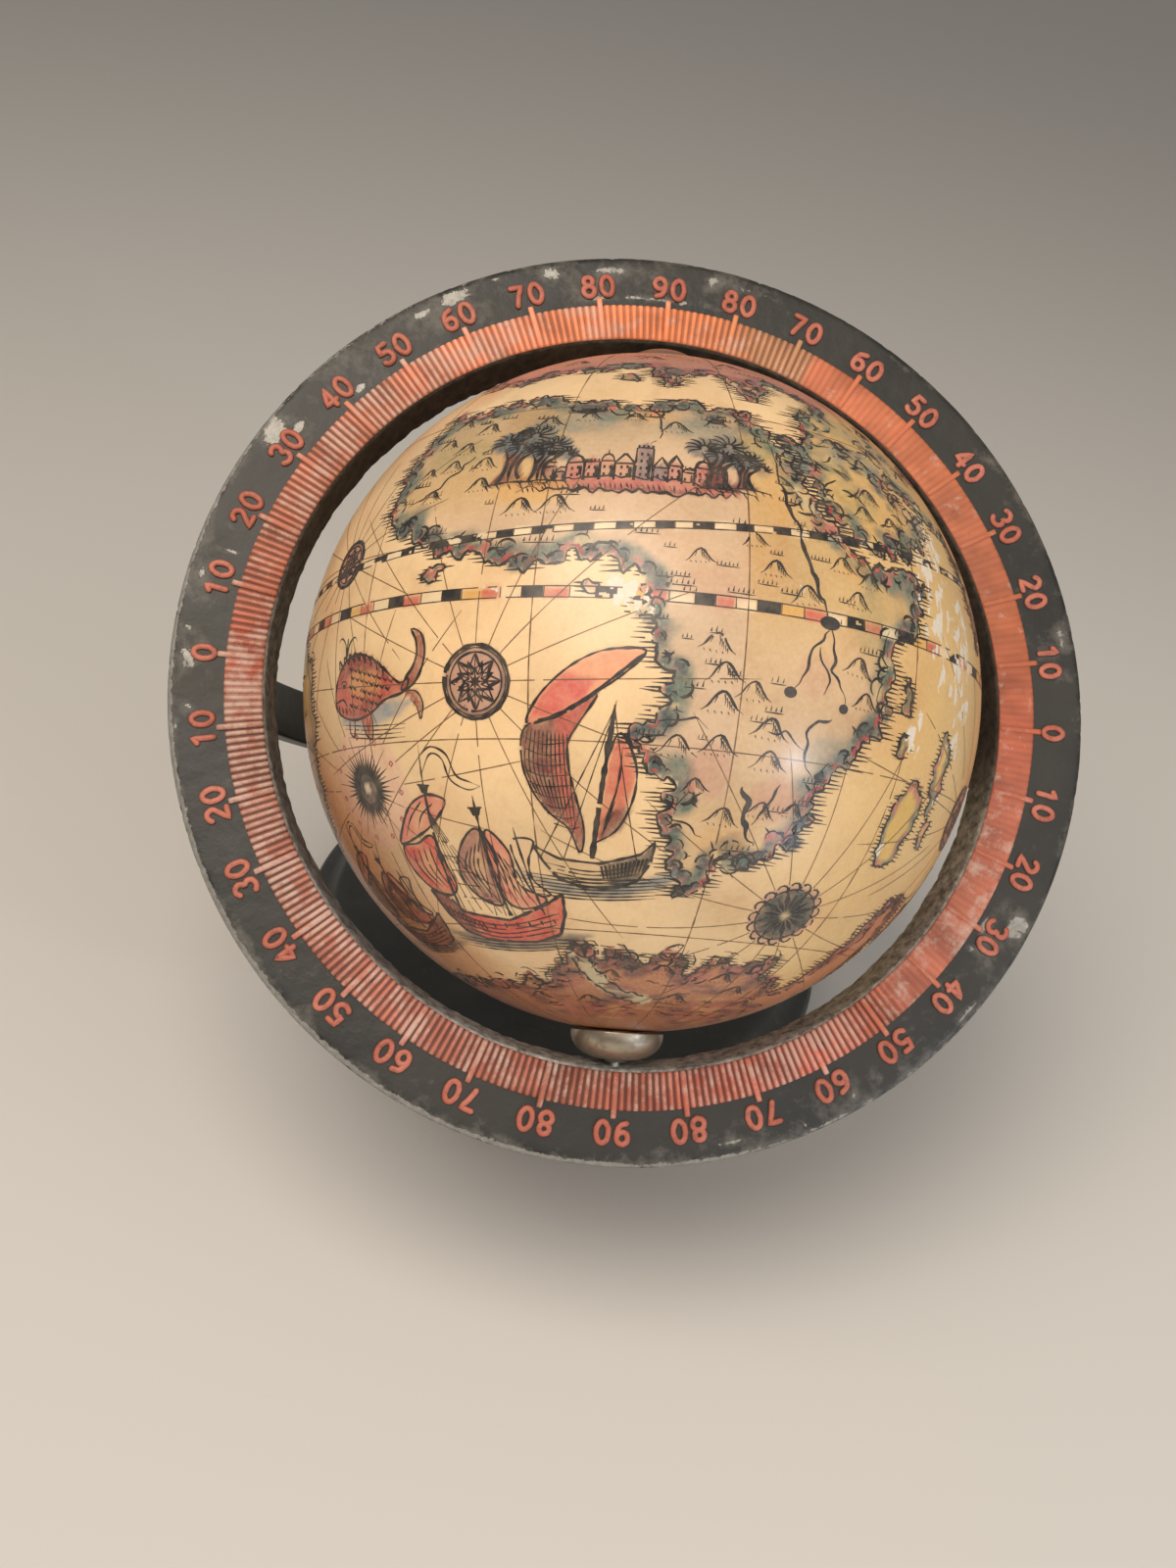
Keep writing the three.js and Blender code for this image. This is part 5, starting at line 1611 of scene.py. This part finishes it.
    # Darker tints, then vine and scroll strokes, on the southern land
    tones = [(112, 56, 54), (176, 88, 76), (204, 146, 92), (92, 48, 48)]
    for k in range(110):
        lon, lat = rng.uniform(-30, 75), rng.uniform(-74, -54)
        if on_land(lon, lat, 3):
            blob = bow(0, 0, rng.uniform(0.8, 3.0), rng.uniform(0.5, 1.1), 0, 330, 12)
            Flat(lon, lat).fill(blob, lin(*tones[k % 4]), 0.72, 0.7)
    for k in range(46):
        lon, lat = rng.uniform(-30, 75), rng.uniform(-71, -59)
        flat = Flat(lon, lat, rng.uniform(0.5, 0.9), rng.uniform(-20, 20))
        flat.line([(-1.4, 0), (-0.6, 0.6), (0.2, 0), (0.9, 0.5), (1.6, 0)], 0.17, True)
    # Banks of the channel through the southern land
    for side in (1.4, -1.4):
        bank = [(x + (side if k < 3 else 0), y + side) for k, (x, y) in enumerate(CHANNEL)]
        ink.line(direction(*ragged(bank, 0.4, 77, False).T), 0.3, (0, 0), 0.4)


draw_map()


def land_colour(kind, lon, lat):
    """The ground's colour on each land, without its coast."""
    if kind == "africa":
        ochre = smoothstep(lon, 24, 26) * (1 - smoothstep(lon, 55, 57))
        ochre = ochre * (0.3 + 0.45 * smoothstep(lat, -8, 6))
        ochre = ochre + 0.6 * smoothstep(lat, 12, 20) * smoothstep(lon, -4, -6)
        base = blend(lin(210, 178, 144), lin(206, 168, 102), column(ochre))
        base = blend(base, lin(164, 142, 108), 0.55 * column(smoothstep(lat, 22, 34)))
        return blend(base, lin(214, 176, 120), 0.5 * column(smoothstep(lat, -20, -28)))
    if kind == "asia":
        pink = smoothstep(lat, 44, 49) * (1 - smoothstep(lon, 54, 84))
        return blend(lin(218, 174, 104), lin(196, 128, 106), column(pink))
    if kind == "america":
        return blend(lin(216, 176, 110), lin(206, 158, 122), column(smoothstep(lat, 8, 12)))
    if kind == "south":
        return blend(lin(190, 122, 78), lin(166, 100, 56), column(smoothstep(lat, -58, -72)))
    return np.tile(lin(222, 180, 92), (len(lon), 1))


# The dark edge inside each coast: its colour, its width in degrees and its strength
TEAL = lin(92, 110, 98)
COAST_EDGES = {
    "africa": (TEAL, 3.6, 0.9), "asia": (TEAL, 3.4, 0.85), "america": (lin(128, 130, 122), 3.4, 0.75),
    "south": (lin(108, 54, 48), 3.0, 0.95), "isle": (TEAL, 1.4, 0.85),
}


def paint_land(colour, line, kind, d, x, y, strip):
    """Colours the vertices that lie on one land, darker along its coast."""
    at = np.nonzero(inside_map(line, x, y))[0]
    if not len(at):
        return
    shore = direction(*(line[line[:, 1] > -68] if kind == "south" else line).T)
    tree = KDTree(len(shore))
    for i, c in enumerate(shore):
        tree.insert(c, i)
    tree.balance()
    gap = np.degrees(np.array([tree.find(v)[2] for v in d[at]]))
    p = d[at] * GLOBE_R
    cloud = 1 + 0.045 * column(strip[at]) + 0.04 * column(ripple(p, 14, 52))
    base = land_colour(kind, x[at], y[at]) * cloud
    edge, width, strength = COAST_EDGES[kind]
    if kind != "south":
        edge = blend(edge, lin(74, 82, 88), 0.75 * column(smoothstep(ripple(p, 3.4, 60), 0.0, 1.2)))
    if kind == "asia":
        pink = smoothstep(y[at], 42, 47) * (1 - smoothstep(x[at], 54, 84))
        edge = blend(edge, lin(150, 74, 70), column(pink))
    width = width * (1.05 + 0.25 * ripple(p, 5, 53))
    k = (1 - smoothstep(gap, 0.4 * width, width)) * strength * (0.95 + 0.1 * ripple(p, 2.4, 54))
    base = blend(base, edge, column(np.clip(k, 0, 0.95)))
    if kind in ("africa", "isle", "asia"):
        spot = smoothstep(ripple(p, 2.6, 55), 0.2, 0.7) * (1 - smoothstep(gap, 0.7, 1.4))
        base = blend(base, lin(200, 104, 98), 0.75 * column(spot))
    colour[at] = base


def paint_wash(colour, d, to, points, tone, strength, soft):
    """Colours the vertices inside an outline of a local frame, with a soft edge."""
    reach = np.radians(np.linalg.norm(points, axis=1).max() + 1.5)
    at = np.nonzero(d @ to([[0, 0]])[0] > math.cos(min(reach, 3.0)))[0]
    if not len(at):
        return
    xy = to.back(d[at])
    outline = np.vstack([points, points[:1]])
    gap = np.full(len(at), 1e9)
    for p0, p1 in zip(outline[:-1], outline[1:]):
        e = p1 - p0
        t = np.clip(((xy - p0) @ e) / max(e @ e, 1e-12), 0, 1)
        gap = np.minimum(gap, np.linalg.norm(xy - p0 - column(t) * e, axis=1))
    hit = inside(outline, xy[:, 0], xy[:, 1])
    k = smoothstep(np.where(hit, gap, -gap), -soft * 0.6, soft * 0.5) * strength
    k = np.clip(k * (1 + 0.12 * ripple(d[at] * GLOBE_R, 3, 57)), 0, 1)
    colour[at] = blend(colour[at], tone, column(k))


# Rubbed places: longitude, latitude, half width, half height, strength
RUBBED_PAPER = [
    (61, 10, 5, 13, 0.4), (69, 0, 5, 16, 0.36), (8.5, 2.6, 4.5, 3, 0.62), (-12, 3, 3, 2.2, 0.42),
    (56.5, -11, 2.5, 3, 0.55), (63, 21, 4, 6, 0.36), (150, 20, 10, 6, 0.4), (230, -20, 9, 6, 0.4),
    (57.5, -29, 2.5, 1.5, 0.35),
]
RUBBED_PRINT = [
    (62, 10, 5, 12, 0.8), (70, 2, 5, 14, 0.8), (8.5, 2.6, 4.5, 3, 1.1), (-12, 3, 3, 2.2, 0.8),
    (56.5, -11, 2.5, 3, 1), (150, 20, 10, 6, 0.7), (230, -20, 9, 6, 0.7),
]
# The radius of the polar holes and the thickness of the shell, in millimetres
HOLE_R = 3.1
SHELL = 1.8


def polar_edge(radius):
    """The latitude of a polar hole's edge on a sphere."""
    return math.degrees(math.acos(HOLE_R / radius))


def build_globe():
    hole, inner_r = polar_edge(GLOBE_R), GLOBE_R - SHELL
    # The grid is finer on the side that faces forwards, and between the polar caps
    front = np.arange(-62, 100, 0.52)
    lon = np.concatenate([front, np.linspace(front[-1], front[0] + 360, 136)[1:-1]])
    south, north = np.linspace(-hole, -60, 30)[:-1], np.linspace(52.2, hole, 28)
    lat = np.concatenate([south, np.arange(-60, 52, 0.72), north])
    lat_in = np.linspace(polar_edge(inner_r), -polar_edge(inner_r), 11)
    x, y = np.meshgrid(lon, np.concatenate([lat, lat_in]))
    radii = np.repeat([GLOBE_R, inner_r], [len(lat) * len(lon), len(lat_in) * len(lon)])
    d = direction(x.ravel(), y.ravel())
    faces = grid_faces(*x.shape, close_rows=True)
    obj = piece("globe_skin", from_ring(d * column(radii)), faces, PAPER, "globe",
                ["globe_north_half", "globe_south_half"])
    m = len(lat) * len(lon)
    x, y, d = wrapped(x.ravel()[:m]), y.ravel()[:m], d[:m]
    p = d * GLOBE_R
    # Paper with its gores: each strip has its own tone
    gore = np.floor((x + 65) / 30).astype(int)
    strip = np.random.default_rng(12).uniform(-1, 1, 16)[gore % 16]
    paper = lin(238, 204, 156) * (1 + 0.05 * column(strip) + 0.04 * column(ripple(p, 22, 51)))
    golden = smoothstep(x, 25, 62) * (1 - smoothstep(x, 100, 140))
    colour = blend(paper, lin(226, 186, 120), column(golden))
    for line, kind in COASTS:
        paint_land(colour, line, kind, d, x, y, strip)
    # Pale channel in the southern land
    flat = local(6, -60)
    xy = flat.back(d)
    path = dense(flat.back(direction(*np.array(CHANNEL).T)), 0.3)
    near = np.min([np.linalg.norm(xy - q, axis=1) for q in path], axis=0)
    colour = blend(colour, lin(206, 190, 150), column(1 - smoothstep(near, 1.35, 1.7)))
    for wash in fills:
        paint_wash(colour, d, *wash)
    # Age: browner towards the poles and in stains, and a tanned patch low on the west side, which is also
    # painted shade on the globe's lower left limb
    age = 0.28 * smoothstep(np.abs(y + 4), 48, 82) + 0.1 * np.maximum(ripple(p, 16, 58), 0)
    colour = blend(colour, colour * lin(196, 146, 96) * 1.25, column(age))
    # Tanned paper together with painted shade over the lower left limb
    tan_and_limb_shade = smoothstep(d @ direction(-78, -40), 0.74, 0.97) * 0.95
    colour = blend(colour, colour * lin(176, 124, 80) * 1.1, column(tan_and_limb_shade))
    streak = ripple(np.stack([x * 1.6, y * 0.3, y * 0], -1), 1.2, 62)
    streak = streak * (0.2 + 0.4 * smoothstep(x, 50, 55) * (1 - smoothstep(x, 80, 90)))
    rub = spots(RUBBED_PAPER, x, y) * (0.85 + streak) + 0.05 * ripple(p, 6, 59) + 0.28
    attribute(obj, "tint", np.clip(colour, 0, 1), lin(150, 122, 84))
    attribute(obj, "scuff", np.clip(rub, 0, 1))


def rubbed(d):
    """Where the print has gone with the paper's face."""
    lon, lat = place_of(d)
    return spots(RUBBED_PRINT, wrapped(lon), lat) + 0.3 * ripple(d * GLOBE_R, 1.6, 71) > 0.62


build_globe()
ink.made("map_ink", INK)
fine.made("map_fine_lines", FINE_INK)
red.made("map_red_lines", RED_INK)

# Stand ------------------------------------------------------------------------------------------


def heights(node):
    low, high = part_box(node)
    return low.z / MM, high.z / MM


stem_low, stem_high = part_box("stem")
stem_y = (stem_low.y + stem_high.y) / 2
STEM_Y = stem_y / MM
# The yoke's bar and its boss, in millimetres
BAR_IN, BAR_OUT, BAR_HALF = 62.5, 66.5, 4.5
BOSS_R = 7.5
BOSS_BOTTOM = stem_high.z / MM + 0.3


def build_base():
    low = heights("base")[0]
    top, recess = 9.0, 5.6
    hole_r, recess_r = 2.8, 8.0
    steps = (14.0, 20.0, 26.0, 32.0, 38.0, 43.0)
    profile = [
        (recess_r, low, 0), *((r, low, 0) for r in steps), (51.0, low, 0.6), (52.0, low + 1.2, 0.8),
        (52.0, 4.6, 0.8), (51.3, 5.7, 0.5), (48.8, 6.3, 0.7), (47.4, 7.3, 0.8), (46.2, 8.5, 0.8),
        (44.2, top, 0.8), *((r, top, 0) for r in steps[::-1]), (hole_r, top, 0), (hole_r, recess, 0),
        (recess_r, recess, 0), (recess_r, low, 0),
    ]
    co, faces = lathe(rounded(profile, 1, 4)[:-1], 160)
    # The counterbore sits under the stem, so the rings move over to it as they get smaller
    x, y, z = co.T
    y = y + STEM_Y * (1 - smoothstep(np.hypot(x, y), 9, 44))
    piece("base_casting", np.stack([x, y, z], -1) * MM, faces, ENAMEL, "stand", ["base"])


def build_stem():
    low, high = heights("stem")
    profile = [
        (2.8, low, 0), (10, low, 0.3), (10, low + 1.7, 0.7), (8.4, low + 2.7, 0.5), (6.2, low + 3.3, 0.6),
        (4.8, low + 5.6, 1.5), (4.8, high - 4.2, 1.5), (6.0, high - 2, 0.6), (7.5, high - 1.3, 0.4),
        (7.5, high, 0.25), (2.8, high, 0),
    ]
    co, faces = lathe(rounded(profile, 1, 4), 96)
    piece("stem_post", co * MM + [0, stem_y, 0], faces, ENAMEL, "stand", ["stem"])


def yoke_back(x, y):
    """Height of the upright line through (x, y) where it meets the bar's middle, behind the globe."""
    middle = (BAR_IN + BAR_OUT) / 2
    past = y - TRUNNION[1] / MM
    return TRUNNION[2] / MM + past - np.sqrt(middle ** 2 - x ** 2) / math.sin(math.pi / 4)


def build_yoke():
    shells = Shells()
    section = rounded([
        (BAR_IN, 0, 0), (BAR_IN, BAR_HALF, 0.7), (BAR_OUT, BAR_HALF, 0.9), (BAR_OUT, -BAR_HALF, 0.9),
        (BAR_IN, -BAR_HALF, 0.7), (BAR_IN, 0, 0),
    ], 1, 4)[:-1]
    steps = 121
    a = column(np.radians(np.linspace(180, 360, steps)))
    bar = np.broadcast_arrays(section[:, 0] * np.cos(a), section[:, 1], section[:, 0] * np.sin(a))
    faces = [f[::-1] for f in tube_faces(steps, len(section))]
    shells.add(from_ring(np.stack(bar, -1).reshape(-1, 3), TRUNNION), faces)
    eye = rounded([(0.5, BAR_IN, 0), (6, BAR_IN, 0.6), (6, BAR_OUT, 0.6), (0.5, BAR_OUT, 0)], 0.6, 4)
    for side in (1, -1):
        shells.add(*on_trunnion(eye, 64, False, side))
    # Boss under the yoke's back: upright, its top cut to the bar's middle
    sides = 64
    turn = np.radians(np.linspace(0, 360, sides, endpoint=False))
    rings = []
    for share, lift in ((0.4, 0.0), (0.96, 0.0), (1.0, 0.35)):
        x, y = BOSS_R * share * np.cos(turn), STEM_Y + BOSS_R * share * np.sin(turn)
        rings.append(np.stack([x, y, np.full(sides, BOSS_BOTTOM + lift)], -1))
    for share, reach in ((1.0, 0.985), (0.97, 1.0), (0.85, 1.0), (0.5, 1.0), (0.0, 1.0)):
        x, y = BOSS_R * share * np.cos(turn), STEM_Y + BOSS_R * share * np.sin(turn)
        rings.append(np.stack([x, y, np.minimum(BOSS_BOTTOM + 12.5 * reach, yoke_back(x, y))], -1))
    shells.add(np.concatenate(rings) * MM, tube_faces(len(rings), sides)[:-1])
    co, faces = shells.all()
    piece("yoke_arm", co, faces, ENAMEL, "stand", ["yoke"])


def cut_slot(obj, side):
    """Cuts the screwdriver's slot into a screw's head."""
    spin = math.radians(24)
    x, y, z = np.array([(x, y, z) for x in (68.1, 70.5) for y in (-6, 6) for z in (-0.45, 0.45)]).T
    c, s = math.cos(spin), math.sin(spin)
    box = np.stack([x, y * c - z * s, y * s + z * c], -1)
    quads = [(0, 1, 3, 2), (4, 6, 7, 5), (0, 4, 5, 1), (2, 3, 7, 6), (0, 2, 6, 4), (1, 5, 7, 3)]
    box, quads = mirrored(box, quads, side)
    mesh = bpy.data.meshes.new("slot")
    mesh.from_pydata([tuple(c) for c in from_ring(box, TRUNNION)], [], quads)
    cutter = bpy.data.objects.new("slot", mesh)
    bpy.context.scene.collection.objects.link(cutter)
    cut = obj.modifiers.new("slot", "BOOLEAN")
    cut.operation, cut.solver, cut.object = "DIFFERENCE", "EXACT", cutter
    bpy.context.view_layer.update()
    made = bpy.data.meshes.new_from_object(obj.evaluated_get(bpy.context.evaluated_depsgraph_get()))
    obj.modifiers.clear()
    obj.data = made
    bpy.data.objects.remove(cutter)
    made.polygons.foreach_set("use_smooth", [True] * len(made.polygons))
    made.set_sharp_from_angle(angle=math.radians(40))


def build_screws():
    head = rounded([
        (0.2, 57.5, 0), (1.6, 57.5, 0.3), (1.6, 66.8, 0), (4.5, 66.8, 0.2), (4.5, 69.0, 0.7),
        (0.2, 69.0, 0),
    ], 0.3, 4)
    washer = rounded([
        (1.9, 61.5, 0.1), (4.8, 61.5, 0.2), (4.8, 62.2, 0.2), (1.9, 62.2, 0.1), (1.9, 61.5, 0),
    ], 0.2, 3)[:-1]
    for side, name in ((1, "right"), (-1, "left")):
        co, faces = on_trunnion(head, 72, False, side)
        replaced = [f"{name}_trunnion_screw"]
        cut_slot(piece(f"{name}_screw_head", co, faces, NICKEL, "ring", replaced), side)
        co, faces = on_trunnion(washer, 64, True, side)
        replaced = [f"{name}_friction_washer"]
        piece(f"{name}_washer_disc", co, faces, LEATHER, "ring", replaced)


def build_felt():
    low, high = heights("felt_pad")
    profile = rounded([(0.5, low, 0), (48.9, low, 0.5), (49, high, 0.3), (0.5, high, 0)], 0.4, 3)
    co, faces = lathe(profile, 160, False)
    edge = np.hypot(co[:, 0], co[:, 1])
    fuzz = 1 - smoothstep(edge, 40, 49) * 0.003 * (1 + ripple(co, 4, 61))
    co[:, :2] *= fuzz[:, None]
    piece("felt_disc", co * MM, faces, FELT, "stand", ["felt_pad"])


build_base()
build_stem()
build_yoke()
build_screws()
build_felt()

for node, material in {
    "globe_joining_band": CARD, "north_pole_bush": BRASS, "south_pole_bush": BRASS, "north_pole_pin": STEEL,
    "south_pole_pin": STEEL, "base_screw": STEEL, "base_washer": STEEL,
}.items():
    data = frame["nodes"][node].data
    data.materials.clear()
    data.materials.append(material)

# Floor, light and camera ------------------------------------------------------------------------

FLOOR_HALF = 9.0
floor_mesh = bpy.data.meshes.new("floor")
corners = [(x * FLOOR_HALF, y * FLOOR_HALF, 0) for x, y in ((-1, -1), (1, -1), (1, 1), (-1, 1))]
floor_mesh.from_pydata(corners, [], [(0, 1, 2, 3)])
floor_look = Look("floor", rough=0.75)
floor_look.set("Base Color", lin(206, 202, 196))
floor_mesh.materials.append(floor_look.material)
floor = bpy.data.objects.new("floor", floor_mesh)
bpy.context.scene.collection.objects.link(floor)


def lamp(name, place, size, power, colour, target=(0, 0, 0)):
    """An area lamp at a ring-local place in millimetres, turned to a ring-local target."""
    data = bpy.data.lights.new(name, "AREA")
    data.shape, data.size, data.energy, data.color = "DISK", size, power, colour
    obj = bpy.data.objects.new(name, data)
    bpy.context.scene.collection.objects.link(obj)
    obj.location = Vector(from_ring(place))
    aim = Vector(from_ring(target)) - obj.location
    obj.rotation_euler = aim.to_track_quat("-Z", "Y").to_euler()


lamp("key", (-210, 250, 560), 0.5, 3.9, (1.0, 0.9, 0.78))
lamp("fill", (260, -40, 520), 0.8, 1.3, (1.0, 0.93, 0.84))
lamp("cool", (300, -330, 190), 0.12, 0.4, (0.66, 0.8, 1.0))
# The camera's ring-local place, and a small lamp whose reflection it sees at this place on the map
eye = np.array([-32.0, -46.1, 222.6])
glint_at = direction(34.6, -18) * GLOBE_R
normal = glint_at / np.linalg.norm(glint_at)
view = (eye - glint_at) / np.linalg.norm(eye - glint_at)
glint = 2 * (normal @ view) * normal - view
lamp("glint", glint_at + glint * 420, 0.022, 0.32, (0.66, 0.8, 1.0), glint_at)

world = bpy.data.worlds.new("studio")
world.use_nodes = True
background = world.node_tree.nodes["Background"]
background.inputs["Color"].default_value = (1.0, 0.96, 0.92, 1)
background.inputs["Strength"].default_value = 0.26
bpy.context.scene.world = world
bpy.context.scene.view_settings.view_transform = "Standard"

camera_data = bpy.data.cameras.new("camera")
camera_data.lens, camera_data.sensor_width, camera_data.clip_start = 34.8, 36, 0.005
camera = bpy.data.objects.new("camera", camera_data)
bpy.context.scene.collection.objects.link(camera)
right = np.array([0.990, 0.0714, 0.122]) @ BASIS
forward = np.array([0.111, 0.142, -0.9836]) @ BASIS
forward /= np.linalg.norm(forward)
right -= forward * (right @ forward)
right /= np.linalg.norm(right)
up = np.cross(right, forward)
turn = Matrix([(right[i], up[i], -forward[i]) for i in range(3)]).to_4x4()
camera.matrix_world = Matrix.Translation(Vector(from_ring(eye))) @ turn
bpy.context.scene.camera = camera
